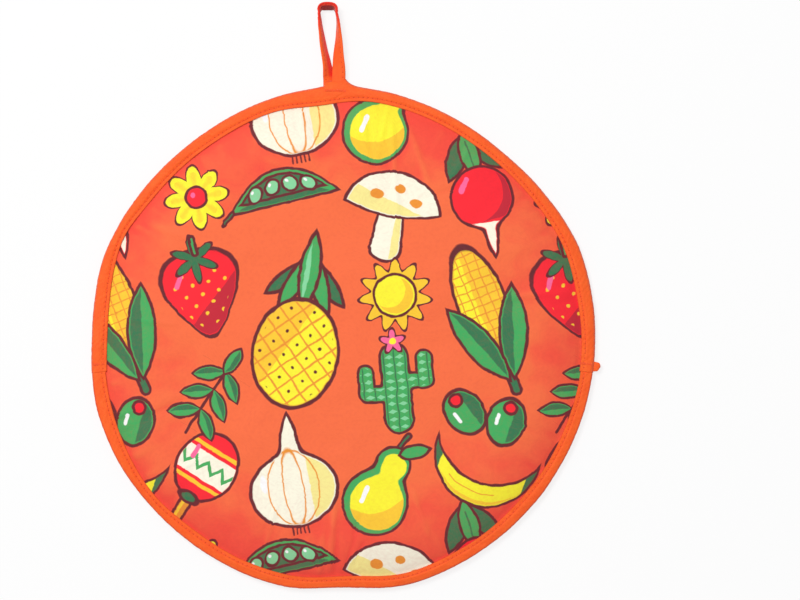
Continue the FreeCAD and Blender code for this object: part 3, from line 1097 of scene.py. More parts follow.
# %% Make the net
NET_PITCH = 2.9
NET_REACH = int(OUTER_RADIUS / NET_PITCH) + 3
UNDER_TAPE = 5.5
net_line = np.arange(-NET_REACH, NET_REACH + 1) * NET_PITCH
net_x, net_y = np.meshgrid(net_line, net_line)
net_angle = np.degrees(np.arctan2(net_y, net_x))
net_inside = from_rim(rim_radius(net_angle) - np.hypot(net_x, net_y), net_angle)
in_net = net_inside > TAPE_COVER - UNDER_TAPE


def net_mesh(name, height):
    """The net as a mesh object with square faces."""
    number = np.where(in_net, np.cumsum(in_net).reshape(in_net.shape) - 1, -1)
    faces = squares(number)
    mesh = bpy.data.meshes.new(name)
    points = stack(net_x, net_y, height)[in_net] * MM
    mesh.from_pydata(points.tolist(), [], faces[faces.min(axis=1) >= 0].tolist())
    return place_object(name, mesh)


def weigh(net, name, shares):
    """A vertex group of the net with one share for each point."""
    group = net.vertex_groups.new(name=name)
    for index, share in enumerate(shares):
        group.add([index], float(share), "REPLACE")
    return group.name


print(f"the net has {in_net.sum()} points, {NET_PITCH} mm apart")

# %% Let a cloth settle
SETTLE_FRAMES = 20
CLOTH_SETTINGS = {
    "quality": 6,
    "mass": 0.1,
    "tension_stiffness": 30,
    "compression_stiffness": 30,
    "shear_stiffness": 15,
    "bending_stiffness": 1.0,
    "use_pressure": True,
}


def settled_height(name, even, eased, most, least, pressure):
    """The net's height after it has settled. eased is 1 where the extra length is most, 0 where least."""
    net = net_mesh(name, even)
    cloth = net.modifiers.new("settle", "CLOTH")
    settings = cloth.settings
    for setting, value in CLOTH_SETTINGS.items():
        setattr(settings, setting, value)
    settings.vertex_group_mass = weigh(net, "held", net_inside[in_net] < TAPE_COVER)
    settings.vertex_group_shrink = weigh(net, "eased", eased[in_net])
    settings.shrink_max = -most
    settings.shrink_min = -least
    settings.uniform_pressure_force = pressure
    settings.effector_weights.gravity = 0
    cloth.collision_settings.use_collision = False
    cloth.point_cache.frame_start = 1
    cloth.point_cache.frame_end = SETTLE_FRAMES
    for frame_number in range(1, SETTLE_FRAMES + 1):
        bpy.context.scene.frame_set(frame_number)
    after = net.evaluated_get(bpy.context.evaluated_depsgraph_get()).to_mesh()
    places = np.empty(len(after.vertices) * 3)
    after.vertices.foreach_get("co", places)
    bpy.context.scene.frame_set(1)
    bpy.data.objects.remove(net)
    height = even.copy()
    height[in_net] = places.reshape(-1, 3)[:, 2] / MM
    return height


print(f"each cloth settles for {SETTLE_FRAMES} frames")

# %% Read the puckers off the net
UNEVEN = 0.1
PUCKER_LIMIT = 1.6
PUCKER_GAIN = 1.4
BLUR_MM = 2.0
RING_WIDTH = 3.0
FEWEST_IN_RING = 20


def blurred(values):
    """The values of the net, softened over BLUR_MM."""
    steps = np.arange(-3, 4) * NET_PITCH
    kernel = np.exp(-((steps / BLUR_MM) ** 2) / 2)
    kernel /= kernel.sum()
    for axis in (0, 1):
        values = np.apply_along_axis(np.convolve, axis, values, kernel, "same")
    return values


def only_puckers(relief):
    """The relief without its mean at each distance from the rim, soft, and no higher than the limit."""
    ring = (net_inside / RING_WIDTH).astype(int)
    rings = [number for number in np.unique(ring[in_net]) if (ring == number).sum() > FEWEST_IN_RING]
    mean = [relief[in_net & (ring == number)].mean() for number in rings]
    relief = relief - np.interp(net_inside, (np.array(rings) + 0.5) * RING_WIDTH, mean)
    relief = blurred(relief * past_tape(net_inside + 2, 8))
    return PUCKER_LIMIT * np.tanh(PUCKER_GAIN * relief / PUCKER_LIMIT)


def settled_puckers(name, eased, most, least, pressure, seed):
    """A function of x and y that reads the puckers of a settled cloth, in millimetres."""
    even = between(TAPE_HIGH, FRONT_TOP, risen(net_inside, FRONT_RISE))
    uneven = UNEVEN * ripples(net_x, net_y, 16, 14, seed) * past_tape(net_inside, 6)
    relief = np.zeros_like(net_x)
    relief = only_puckers(settled_height(name, even + uneven, eased, most, least, pressure) - even)
    print(f"{name}: puckers from {relief.min():.2f} to {relief.max():.2f} mm")

    def read(x, y):
        column, row = [np.clip(place / NET_PITCH + NET_REACH, 0, 2 * NET_REACH - 0.001) for place in (x, y)]
        left, low = column.astype(int), row.astype(int)
        right, high = column - left, row - low
        below = relief[low, left] * (1 - right) + relief[low, left + 1] * right
        above = relief[low + 1, left] * (1 - right) + relief[low + 1, left + 1] * right
        return below * (1 - high) + above * high

    return read


near_tape = np.exp(-(((net_inside - TAPE_COVER) / 30) ** 2))
near_fold = np.exp(-(((net_y - FOLD_Y) / 16) ** 2) - ((net_x - GATHER_X) / 55) ** 2)
outer_puckers = settled_puckers("outer_cloth", near_tape, most=0.012, least=-0.004, pressure=3.0, seed=5)
lining_puckers = settled_puckers("lining_cloth", near_fold, most=0.035, least=-0.002, pressure=2.0, seed=9)

# %% [markdown]
# ## Cutting and laying the plies
# A ply is a closed sheet: the same grid at the height of its upper face and of its lower face. Its heights
# in the middle and at the rim follow the construction. The two linings meet along the sewn half of the rim.
# Along the mouth each goes into its own tape, so the front lining is higher there.

# %% Read the heights of the plies
GAP = 0.05
CLEAR_BELOW = 0.25
CLEAR_ABOVE = 0.3
WADDING_THICK = 3.0
LINING_THICK = 0.4
TAPE_THICK = 0.6
WADDING_AT_RIM = 0.7
CLOTH_THICK = FRONT_TOP - box_mm("front_batting")[1].z - GAP
BACK_CLOTH_RIM = TAPE_LOW + TAPE_THICK + GAP
BACK_LINING_TOP = box_mm("back_lining")[1].z
FRONT_MIDDLE_LOW = FRONT_TOP - 2 * GAP - CLOTH_THICK - WADDING_THICK - LINING_THICK
FRONT_CLOTH_RIM = TAPE_HIGH - TAPE_THICK - GAP - CLOTH_THICK
BACK_LINING_RIM = BACK_LIP_HIGH - TAPE_THICK - GAP - LINING_THICK
SEWN_LINING_RIM = BACK_LIP_HIGH - TAPE_THICK
MOUTH_LINING_RIM = FRONT_LIP_LOW + TAPE_THICK + GAP
print(f"cloth {CLOTH_THICK:.2f} mm thick, linings {BACK_LINING_TOP:.2f} and {FRONT_MIDDLE_LOW:.2f} mm up")

# %% Cut a ply
# How far the cloth's relief moves the painted shade: lighter on the ridges, darker in the furrows.
FURROW_SHADE_GAIN = 26.0
LEAST_WADDING = 0.2


def sheet_piece(name, x, y, upper, lower, flat, material, slot):
    """A closed ply between two heights."""
    points, faces = closed_sheet(stack(x, y, upper), stack(x, y, lower))
    return add_piece(name, points, faces, np.stack([flat, flat]), material, slot)


def wadding_piece(name, x, y, upper, lower):
    """A ply of wadding, which stays clear of the cloths above and below it."""
    lower = np.minimum(lower, upper - LEAST_WADDING)
    return sheet_piece(name, x, y, upper, lower, stack(x, y, 0), wadding_finish, "batting")


def print_place(x, y, turn, shift, relief):
    """The place in the print. The third number, for the ground, is the distance from the panel's middle.

    It is less towards the sides than towards the top and the mouth, so the sides stay more orange, with
    less painted rim shade. It is also less on the ridges of the cloth and more in the furrows, which paints
    light on the ridges and shade in the furrows.
    """
    c, s = math.cos(math.radians(turn)), math.sin(math.radians(turn))
    middle = np.hypot(x * 0.86, y * 1.08) - FURROW_SHADE_GAIN * relief
    return stack(x * c + y * s + shift[0], y * c - x * s + shift[1], middle)


print(f"wadding at least {LEAST_WADDING} mm thick")

# %% Sew the back panel
x, y, inside, angle = disc_grid(cells=150, inset=1.6)
rise = risen(inside, BACK_RISE)
relief = cloth_relief(x, y, inside, angle, seed=40) + outer_puckers(-x, y)
lower = BACK_CLOTH_RIM * (1 - rise) + np.maximum(relief * 0.5 * rise, 0)
flat = print_place(-x, y, turn=25, shift=(60, 40), relief=-relief)
printed_back = sheet_piece(
    "printed_back", x, y, lower + CLOTH_THICK, lower, flat, front_print, "printed_cloth"
)
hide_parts("back_outer_cloth")

x, y, inside, angle = disc_grid(cells=100, inset=TAPE_COVER)
rise = risen(inside, BACK_RISE)
lower = between(BACK_CLOTH_RIM + CLOTH_THICK + GAP, CLOTH_THICK + GAP, rise) + CLEAR_BELOW
upper = between(BACK_CLOTH_RIM + CLOTH_THICK + WADDING_AT_RIM, CLOTH_THICK + WADDING_THICK, rise)
upper += quilted(x, y, inside, length=45, seed=61) - CLEAR_ABOVE
wadding_back = wadding_piece("wadding_back", x, y, upper, lower)
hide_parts("back_batting")

x, y, inside, angle = disc_grid(cells=150, inset=1.8)
rise = risen(inside, BACK_RISE)
relief = quilted(x, y, inside, length=45, seed=61)
relief += puckers(inside, angle, seed=67) * 0.5 + outer_puckers(x, -y) * 0.5
lower = between(BACK_LINING_RIM, BACK_LINING_TOP - LINING_THICK, rise) + relief * rise
flat = print_place(x, y, turn=32, shift=(2, 3), relief=0)
gingham_back = sheet_piece(
    "gingham_back", x, y, lower + LINING_THICK, lower, flat, lining_check, "gingham_lining"
)
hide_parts("back_lining")
back_panel = (printed_back, wadding_back, gingham_back)
for ply in back_panel:
    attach(ply, "pouch")
print("back panel:", sum(len(ply.data.polygons) for ply in back_panel), "faces")

# %% Shape the front panel
BEND_START = (0, (FOLD_Y + 4) * MM, 0)
BEND_END = (0, (FOLD_Y - 14) * MM, 0)
GATHERS_LIFT = 0.9
GATHERS_WIDE = 30


def mouth_share(angle):
    """1 along the mouth and 0 along the sewn half, changing just past the corners."""
    return 1 - smooth((-past_corner(angle) - 4) / 6)


def fold_with_flap(piece):
    """Bakes the piece's transform into its mesh."""
    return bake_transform(piece)


def front_relief(x, y, inside, angle):
    """How far the front panel's outer cloth stands above its even curve."""
    return cloth_relief(x, y, inside, angle, seed=11) + outer_puckers(x, y)


def front_cloth_low(inside, relief):
    """The lower face of the front panel's outer cloth."""
    return between(FRONT_CLOTH_RIM, FRONT_TOP - CLOTH_THICK, risen(inside, FRONT_RISE)) + relief


def front_lining_low(x, y, inside, angle):
    """The lower face of the front lining."""
    share = mouth_share(angle)
    rim = SEWN_LINING_RIM * (1 - share) + MOUTH_LINING_RIM * share
    relief = quilted(x, y, inside, length=40, seed=71) + fold_gathers(x, y)
    relief += lining_puckers(x, y) * 0.8 + puckers(inside, angle, seed=73) * 0.4
    return between(rim, FRONT_MIDDLE_LOW, risen(inside, FRONT_RISE)) + relief


print(f"the flap bends over {(BEND_START[1] - BEND_END[1]) / MM:.0f} mm")

# %% Sew the front panel
x, y, inside, angle = disc_grid(cells=200, inset=1.6)
relief = front_relief(x, y, inside, angle)
lower = front_cloth_low(inside, relief)
flat = print_place(x, y, turn=0, shift=(0, 0), relief=relief)
printed_front = sheet_piece(
    "printed_front", x, y, lower + CLOTH_THICK, lower, flat, front_print, "printed_cloth"
)
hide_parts("front_outer_cloth", "flap_outer_cloth")

x, y, inside, angle = disc_grid(cells=110, inset=TAPE_COVER)
upper = front_cloth_low(inside, front_relief(x, y, inside, angle)) - CLEAR_BELOW
lower = front_lining_low(x, y, inside, angle) + LINING_THICK + CLEAR_BELOW
lower += GATHERS_LIFT * np.exp(-((np.hypot(x - GATHER_X, y - FOLD_Y) / GATHERS_WIDE) ** 2))
wadding_front = wadding_piece("wadding_front", x, y, upper, lower)
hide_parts("front_batting", "flap_batting")

x, y, inside, angle = disc_grid(cells=180, inset=1.8)
lower = front_lining_low(x, y, inside, angle)
flat = gathered_place(x, y)
gingham_front = sheet_piece(
    "gingham_front", x, y, lower + LINING_THICK, lower, flat, lining_check, "gingham_lining"
)
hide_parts("front_lining", "flap_lining")
front_panel = (printed_front, wadding_front, gingham_front)
for ply in front_panel:
    fold_with_flap(ply)
print("front panel:", sum(len(ply.data.polygons) for ply in front_panel), "faces")

# %% [markdown]
# ## The binding
# The rim is bound in tape: a strip folded over the edge, with its own edges turned under and one row of
# stitches through both legs. Stitches are spaced by length, so the rim is measured first. Each tape is a
# U-shaped section swept along it. The stitches pull the tape down along their row, so it puffs up a little
# on either side, and each needle hole is a small dip.

# %% Measure along the rim
TABLE_DEGREES = 0.1
table_angle = np.arange(-60, 420, TABLE_DEGREES)
table_step = np.radians(TABLE_DEGREES) * rim_radius(table_angle)
table_length = np.concatenate([[0], np.cumsum(table_step)[:-1]])


def along_rim(angle):
    """The length along the rim up to an angle."""
    return np.interp(angle, table_angle, table_length)


def rim_angle(length):
    """The angle at a length along the rim."""
    return np.interp(length, table_length, table_angle)


print(f"the rim is {along_rim(360) - along_rim(0):.0f} mm round")

# %% Dent and puff a tape
HOLE_DIP = -0.26
PUFF_HIGH = 0.34
HEM_HIGH = 0.10
HEM_WIDE = 4.6
SLOW_WAVES = 0.14
DRAG_WAVES = 0.08


def tape_relief(inside, along, leg, fold, seed):
    """How far the tape's face stands above its even height: stitch dips, puffs and slow waves."""
    row = leg - STITCH_INSET
    hole = 0.35 + 0.65 * (0.5 + 0.5 * np.cos(2 * math.pi * along / STITCH_PITCH)) ** 3
    dip = HOLE_DIP * hole * np.exp(-(((inside - row) / 0.55) ** 2))
    loose = np.clip((row - inside) / (row - fold), 0, 1)
    puff = PUFF_HIGH * np.sin(math.pi * loose) * (1 + 0.35 * ripples(along, along * 0, 21, 5, seed))
    hem = HEM_HIGH * smooth((inside - leg + HEM_WIDE) / 0.8)
    slow = SLOW_WAVES * ripples(along, inside * 3, 26, 8, seed + 1)
    slanted = (along * 0.7 + inside * 0.7, (along - inside) * 0.12)
    return dip + puff + hem + slow + DRAG_WAVES * ripples(*slanted, 2.6, 10, seed + 2)


print(f"dips {-HOLE_DIP} mm deep, puffs {PUFF_HIGH} mm high")

# %% Sweep a tape along the rim
ON_TABLE = 0.02
FOLD_STEPS = 12
LEG_SHARES = np.concatenate([[0, 0.012, 0.04, 0.08], np.linspace(0.14, 1, 14)])
LEG_DROPS = np.concatenate([[0.42, 0.18, 0.04], np.zeros(15)])


def swept_tape(angle, low, high, leg, fold, seed, reach=0.0, extra=(), freedom=(1.0, 0.6)):
    """Points, faces and flat places of a tape folded over the rim. All sizes may vary with the angle.

    freedom is how much of the relief the upper face and the under face have.
    """
    sizes = (angle, low, high, leg, fold, reach, *freedom)
    sizes = [np.broadcast_to(value, angle.shape)[:, None] for value in sizes]
    angle, low, high, leg, fold, reach, free_up, free_down = sizes
    turn = np.radians(np.linspace(0, 180, FOLD_STEPS + 1))[1:-1]
    middle, half = (low + high) / 2, (high - low) / 2
    core = half - TAPE_THICK
    leg_in = leg - LEG_SHARES * (leg - fold)
    level, none = np.ones_like(leg_in), np.zeros_like(leg_in)

    def section(upper_leg, bend, under_leg):
        return np.hstack([upper_leg, bend, under_leg])

    inside = section(leg_in, fold - (fold + reach) * np.sin(turn), leg_in[:, ::-1])
    height = section(half - LEG_DROPS, half * np.cos(turn), -(half - LEG_DROPS)[:, ::-1])
    core_in = section(leg_in, fold - (fold + reach - TAPE_THICK) * np.sin(turn), leg_in[:, ::-1])
    core_up = section(level * core, core * np.cos(turn), -level * core)
    out_in = section(none, -np.sin(turn) / (fold + reach), none)
    out_up = section(level, np.cos(turn) / half, -level)
    size = np.hypot(out_in, out_up)
    out_in, out_up = out_in / size, out_up / size

    along = along_rim(angle) + 0 * inside
    radius = rim_radius(angle)
    relief = tape_relief(inside, along, leg, fold, seed) * free_up * smooth(0.5 + out_up)
    relief += tape_relief(inside, along, leg, fold, seed + 5) * free_down * smooth(0.5 - out_up)
    relief += creases(*polar(radius - inside, angle), extra) * (out_up > 0.5)
    surface = np.maximum(middle + height + out_up * relief, ON_TABLE)
    outer = stack(*polar(radius - inside - out_in * relief, angle), surface)
    inner = stack(*polar(radius - core_in, angle), middle + core_up)

    steps = [np.diff(line, prepend=line[:, :1]) for line in (inside, height)]
    across = np.cumsum(np.hypot(*steps), axis=1)
    on_leg = leg - inside
    flat = stack(along, across, np.where(on_leg < leg / 2, on_leg, PAST_LEG - inside - reach))
    ring = np.concatenate([outer, inner[:, ::-1]], axis=1)
    rows, columns = ring.shape[:2]
    faces = quads(rows, columns, around=True)
    for first in (0, (rows - 1) * columns):
        last = first + columns - 1
        faces += [[first + s, first + s + 1, last - 1 - s, last - s] for s in range(columns // 2 - 1)]
    return ring, faces, np.concatenate([flat, flat[:, ::-1]], axis=1)


print(f"a tape's section has {2 * (2 * len(LEG_SHARES) + FOLD_STEPS - 1)} points")

# %% [markdown]
# ## Where each tape runs
# The closing tape holds both panels together from one corner of the mouth, over the top, to the other.
# Each lip of the mouth has a narrower tape of its own, whose ends are caught under the closing tape. At
# the top the closing tape widens into a tongue, where the ends of the hanging loop are sewn in.

# %% Bind the sewn half
TONGUE_LEFT = -11.6
TONGUE_RIGHT = 1.0
TONGUE_REACH = 4.9
LEFT_FILLET = 1.3
CLOSING_FOLD = 2.2
TAPE_CREASES = [  # below the loop, where its turned ends lie under the tape
    ((-6.8, 144.0), (1.6, 149.0), -0.42, 0.45),
    ((-11.5, 147.5), (-7.0, 152.5), -0.16, 0.6),
    ((1.5, 150.0), (7.0, 146.0), -0.14, 0.7),
]


def tongue(angle):
    """How far the tape's fold stands out of the rim under the hanging loop."""
    x, _ = polar(rim_radius(angle), angle)
    left = smooth((x - TONGUE_LEFT + 0.3) / 0.6)
    right = np.where(x > TONGUE_RIGHT, np.exp(-(x - TONGUE_RIGHT) / 3.6), 1)
    beside = LEFT_FILLET * np.exp(-np.abs(x - TONGUE_LEFT) / 7.0) * (1 - left)
    uneven = 0.78 + 0.22 * np.clip((x - TONGUE_LEFT) / (TONGUE_RIGHT - TONGUE_LEFT), 0, 1)
    return TONGUE_REACH * uneven * left * right + beside


def near_corner(angle, width_mm):
    """1 at the mouth's corners, falling to 0 within a distance along the rim."""
    return 1 - smooth(np.radians(np.abs(past_corner(angle))) * OUTER_RADIUS / width_mm)


def bind(name, angle, **sizes):
    """A tape round a part of the rim."""
    return add_piece(name, *swept_tape(angle, **sizes), tape_cotton, "binding_tape")


closing_angle = np.concatenate(
    [np.arange(CORNER_ANGLE, 83, 0.25), np.arange(83, 97, 0.08), np.arange(97, LEFT_CORNER + 0.2, 0.25)]
)
bulge = near_corner(closing_angle, 15)
pressed = 1 - 0.75 * near_corner(closing_angle, 9)
closing_tape = bind(
    "closing_tape",
    closing_angle,
    low=TAPE_LOW - 0.42 * bulge,
    high=TAPE_HIGH + 0.10 * bulge,
    leg=closing_leg(closing_angle),
    fold=CLOSING_FOLD,
    seed=101,
    reach=tongue(closing_angle) + 0.3 * bulge,
    extra=TAPE_CREASES,
    freedom=(pressed, 0.6 * pressed),
)
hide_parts("closing_binding", "loop_root")
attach(closing_tape, "pouch")
print("closing tape:", len(closing_tape.data.polygons), "faces")

# %% Bind the lips
LIP_TUCK = 4.2
LIP_FOLD = 1.5
lip_angle = np.arange(LEFT_CORNER - LIP_TUCK, 360 + CORNER_ANGLE + LIP_TUCK, 0.25)
under_closing = smooth((0.3 - past_corner(lip_angle)) / 0.7)
lip = {"leg": lip_leg(lip_angle), "fold": LIP_FOLD, "reach": -0.5 * under_closing}
back_lip_tape = bind(
    "back_lip_tape",
    lip_angle,
    low=TAPE_LOW + 0.25 * under_closing,
    high=BACK_LIP_HIGH - 0.05 * under_closing,
    seed=131,
    freedom=(0.3, 0.6 - 0.6 * under_closing),
    **lip,
)
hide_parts("back_mouth_binding")
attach(back_lip_tape, "pouch")
front_lip_tape = bind(
    "front_lip_tape",
    lip_angle,
    low=FRONT_LIP_LOW + 0.05 * under_closing,
    high=TAPE_HIGH - 0.62 * under_closing,
    seed=151,
    freedom=(1.0 - under_closing, 0.3),
    **lip,
)
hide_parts("front_mouth_binding")
fold_with_flap(front_lip_tape)
print("lip tapes:", [len(tape.data.polygons) for tape in (back_lip_tape, front_lip_tape)], "faces")

# %% [markdown]
# ## Stitches
# Each stitch is one short length of thread that rises out of a needle hole, lies on the tape and goes
# down again. One function makes many of them at once: rings of points along the stitch, thin and low at
# both ends.

# %% Make stitches
THREAD_WIDE = 0.5
THREAD_TALL = 0.36
STITCH_LENGTH = 2.35
STITCH_RINGS = np.array([-1.0, -0.82, -0.4, 0.0, 0.4, 0.82, 1.0])
RING_GIRTH = np.array([0.35, 0.85, 1.0, 1.0, 1.0, 0.85, 0.35])
RING_SIDES = 7
ONE_STITCH = len(STITCH_RINGS) * RING_SIDES


def stitches(middles, forwards, ups, length, wide=THREAD_WIDE, tall=THREAD_TALL, sink=0.16):
    """Points, faces and flat places of many stitches. Each array has one row for each stitch."""
    forwards = forwards / np.linalg.norm(forwards, axis=1, keepdims=True)
    sides = np.cross(ups, forwards)
    sides /= np.linalg.norm(sides, axis=1, keepdims=True)
    turn = np.linspace(0, 2 * math.pi, RING_SIDES, endpoint=False)
    ahead = (STITCH_RINGS * length / 2)[:, None]
    spread = RING_GIRTH[:, None] * np.cos(turn) * wide / 2
    lift = RING_GIRTH[:, None] * np.sin(turn) * tall / 2 - sink * STITCH_RINGS[:, None] ** 4
    points = middles[:, None, None]
    for direction, share in ((forwards, ahead), (sides, spread), (ups, lift)):
        points = points + direction[:, None, None] * share[None, :, :, None]
    one = tube_faces(len(STITCH_RINGS), RING_SIDES)
    starts = range(0, len(middles) * ONE_STITCH, ONE_STITCH)
    faces = [[start + corner for corner in face] for start in starts for face in one]
    return points, faces, np.broadcast_to(stack(ahead, turn * wide / 2, 0), points.shape)


def sew(name, rows, length, node, **shape):
    """One piece made of rows of stitches."""
    middles, forwards, ups = [np.concatenate(parts) for parts in zip(*rows)]
    threads = stitches(middles, forwards, ups, length, **shape)
    piece = add_piece(name, *threads, thread_finish, "thread")
    if node:
        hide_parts(node)
    return piece


print(f"a stitch is {STITCH_LENGTH} mm long and has {ONE_STITCH} points")

# %% Sew the rows
TACK_CLEAR = 4.0
LIP_CLEAR = 0.6
SWAY = 0.035


def seam_row(start, end, leg_of, height, seed, side):
    """Middles, directions and upward sides of the stitches of one row, on one face of a tape."""
    count = int((along_rim(end) - along_rim(start)) / STITCH_PITCH)
    first = math.ceil(along_rim(start) / STITCH_PITCH)
    along = (first + np.arange(count) + 0.5) * STITCH_PITCH
    angle = rim_angle(along)
    leg = leg_of(angle)
    inside = leg - STITCH_INSET
    lift = tape_relief(inside, along, leg, 2.0, seed) * (1 if side > 0 else 0.6) + 0.10
    middles = stack(*polar(rim_radius(angle) - inside, angle), height + side * lift)
    turn = np.radians(angle) + np.random.default_rng(seed).normal(0, SWAY, count)
    return middles, stack(-np.sin(turn), np.cos(turn), 0), stack(0 * turn, 0 * turn, side)


closing_run = (CORNER_ANGLE + TACK_CLEAR, LEFT_CORNER - TACK_CLEAR, closing_leg)
closing_rows = [seam_row(*closing_run, TAPE_HIGH, 101, 1), seam_row(*closing_run, TAPE_LOW, 106, -1)]
closing_stitches = sew("closing_stitches", closing_rows, STITCH_LENGTH, "closing_seam_thread")
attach(closing_stitches, "pouch")
lip_run = (LEFT_CORNER + LIP_CLEAR, 360 + CORNER_ANGLE - LIP_CLEAR, lip_leg)
back_row = seam_row(*lip_run, TAPE_LOW, 136, -1)
back_lip_stitches = sew("back_lip_stitches", [back_row], STITCH_LENGTH, "back_mouth_seam_thread")
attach(back_lip_stitches, "pouch")
front_row = seam_row(*lip_run, TAPE_HIGH, 151, 1)
front_lip_stitches = sew("front_lip_stitches", [front_row], STITCH_LENGTH, "front_mouth_seam_thread")
fold_with_flap(front_lip_stitches)
print("stitches in the closing seam:", len(closing_stitches.data.vertices) // ONE_STITCH)

# %% [markdown]
# ## Bar tacks and the end of the tape
# A bar tack is a short, dense zigzag where a seam is pulled hardest: at both corners of the mouth and
# across the ends of the loop. Its threads lie side by side, tilted one way and the other in turns. At the
# right-hand corner the end of the tape sticks out of the rim as a small folded stub.

# %% Sew the bar tacks
TACK_PITCH = 0.42
TACK_THREAD = 0.46
TACK_WIDE = 1.9
TACK_TILT = 0.16
CORNER_TACK_LONG = 7.0
CORNER_TACK_IN = 4.6
CORNER_TACK_PAST = 1.9
LOOP_TACK_LONG = 12.6
LOOP_TACK_TURN = -1.5
LOOP_TACK_Y = 149.6


def bar_tack(x, y, heading, length, upper, under):
    """The threads of a bar tack on both faces. heading is the direction of its length, in degrees."""
    count = int(length / TACK_PITCH)
    steps = (np.arange(count) - (count - 1) / 2) * TACK_PITCH
    turn = math.radians(heading)
    tilt = turn + math.pi / 2 + np.where(np.arange(count) % 2, TACK_TILT, -TACK_TILT)
    rows = []
    for height, side in ((upper, 1), (under, -1)):
        middles = stack(x + steps * math.cos(turn), y + steps * math.sin(turn), height)
        rows.append((middles, stack(np.cos(tilt), np.sin(tilt), 0), stack(0 * tilt, 0 * tilt, side)))
    return rows


tack_rows = []
for turn in (CORNER_ANGLE + CORNER_TACK_PAST, LEFT_CORNER - CORNER_TACK_PAST):
    place = polar(rim_radius(turn) - CORNER_TACK_IN, turn)
    tack_rows += bar_tack(*place, turn, CORNER_TACK_LONG, upper=TAPE_HIGH + 0.17, under=0.24)
corner_tacks = sew(
    "corner_tacks", tack_rows, TACK_WIDE, "corner_bar_tacks", wide=TACK_THREAD, tall=0.24, sink=0.2
)
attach(corner_tacks, "pouch")

loop_tack_x = (TONGUE_LEFT + TONGUE_RIGHT) / 2
loop_tack_rows = bar_tack(
    loop_tack_x, LOOP_TACK_Y, LOOP_TACK_TURN, LOOP_TACK_LONG, upper=TAPE_HIGH + 0.16, under=0.3
)
loop_tack = sew(
    "loop_tack", loop_tack_rows, TACK_WIDE, "loop_bar_tack", wide=TACK_THREAD, tall=0.36, sink=0.3
)
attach(loop_tack, "pouch")
print("threads in the bar tacks:", sum(len(row[0]) for row in tack_rows + loop_tack_rows))

# %% Fold the tape's end
STUB_SIDES = 40
STUB_RINGS = 15
STUB_ROOT = 1.5


def rounded_off(value, power):
    """A sine or cosine pressed towards -1 and 1, which makes a circle squarer."""
    return np.sign(value) * np.abs(value) ** power


def folded_stub(low, high, name):
    """A short flat end of folded tape that sticks out of the rim, rounded off at its tip."""
    middle, size = (low + high) / 2, high - low
    angle = math.atan2(middle.y, middle.x)
    start = rim_radius(math.degrees(angle)) - STUB_ROOT
    length = high.x - start
    along = np.linspace(0, 1, STUB_RINGS)[:, None]
    turn = np.linspace(0, 2 * math.pi, STUB_SIDES, endpoint=False)
    tip = np.sqrt(np.clip(1 - ((along - 0.72) / 0.28).clip(0) ** 2, 0.0, 1))
    across = rounded_off(np.cos(turn), 0.45)
    up = rounded_off(np.sin(turn), 0.6)
    fold_line = -0.16 * np.exp(-(((across - 0.25) / 0.09) ** 2)) * np.sign(up)
    out = start + along * length + 0.35 * (across - across**2) * along
    side = across * (1 - 0.22 * along) * (0.35 + 0.65 * tip) * (size.y - 0.3) / 2
    rise = (up + fold_line) * (0.3 + 0.7 * tip) * size.z / 2 + 0.25 * np.sin(along * 2.2)
    x = out * math.cos(angle) - side * math.sin(angle)
    y = out * math.sin(angle) + side * math.cos(angle)
    faces = tube_faces(STUB_RINGS, STUB_SIDES)
    flat = stack(along * length, side, PAST_LEG / 2)
    return add_piece(name, stack(x, y, middle.z + rise), faces, flat, tape_cotton, "binding_tape")


tape_stub = folded_stub(*box_mm("binding_tape_end"), "tape_stub")
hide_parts("binding_tape_end")
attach(tape_stub, "pouch")
print("stub:", len(tape_stub.data.polygons), "faces")

# %% [markdown]
# ## The hanging loop
# The loop is one length of the same tape, folded in half and sewn along its edge. Its two ends cross where
# they go into the rim, the right one on top. Each leg lies flat there and turns on edge on its way up, so
# the tape stands on edge round the top. First comes the path: the place of the tape's middle and how far
# it leans, at many stations.

# %% Draw the loop's path
LOOP_WIDE = 8.2
LOOP_THICK = 1.65
HALF_WIDE = LOOP_WIDE / 2
HALF_THICK = LOOP_THICK / 2
LEG_GAP = 0.1
LOOP_TOP_X = -9.85
LOOP_TOP_Y = 201.0
LOOP_HALF = 5.25
LOOP_BASE_X = -5.9
LEG_SHIFT = 2.65
CROWN_TALL = 4.2
CROWN_TILT = 30.0
CROWN_BOW = 0.62
CROWN_Y = LOOP_TOP_Y - CROWN_TALL
CROWN_Z = max(RIM_MIDDLE, 0.4 + HALF_WIDE + HALF_THICK)
LEG_STATIONS = 70
CROWN_STATIONS = 28
ROOT_DEPTH = 7.0
ROOT_STATIONS = 8


def leg_twist(side, share):
    """How far the tape leans outwards on a leg, in degrees: 0 on edge and 90 flat."""
    if side > 0:
        return 88 * (1 - share) ** 1.3
    return 41 * (1 - share) ** 0.8 + 30 * math.exp(-((share / 0.12) ** 2))


def loop_leg(side, share):
    """Middle of the tape and its twist in degrees, on a leg from base 0 to crown 1."""
    base_x = LOOP_BASE_X + side * LEG_SHIFT
    top_x = LOOP_TOP_X + side * LOOP_HALF
    base_z = RIM_MIDDLE + side * (LOOP_THICK + LEG_GAP) / 2
    twist = leg_twist(side, share)
    lean = math.radians(twist)
    reach_down = HALF_WIDE * math.cos(lean) + HALF_THICK * math.sin(lean)
    sway = share**10 if side > 0 else (share + math.sin(math.pi / 2 * share)) / 2
    x = base_x + (top_x - base_x) * sway
    y = LOOP_HINGE_Y + (CROWN_Y - LOOP_HINGE_Y) * share
    z = max(base_z + (CROWN_Z - base_z) * (1 - (1 - share) ** 2), TAPE_LOW + 0.2 + reach_down)
    return (x, y, z), -twist


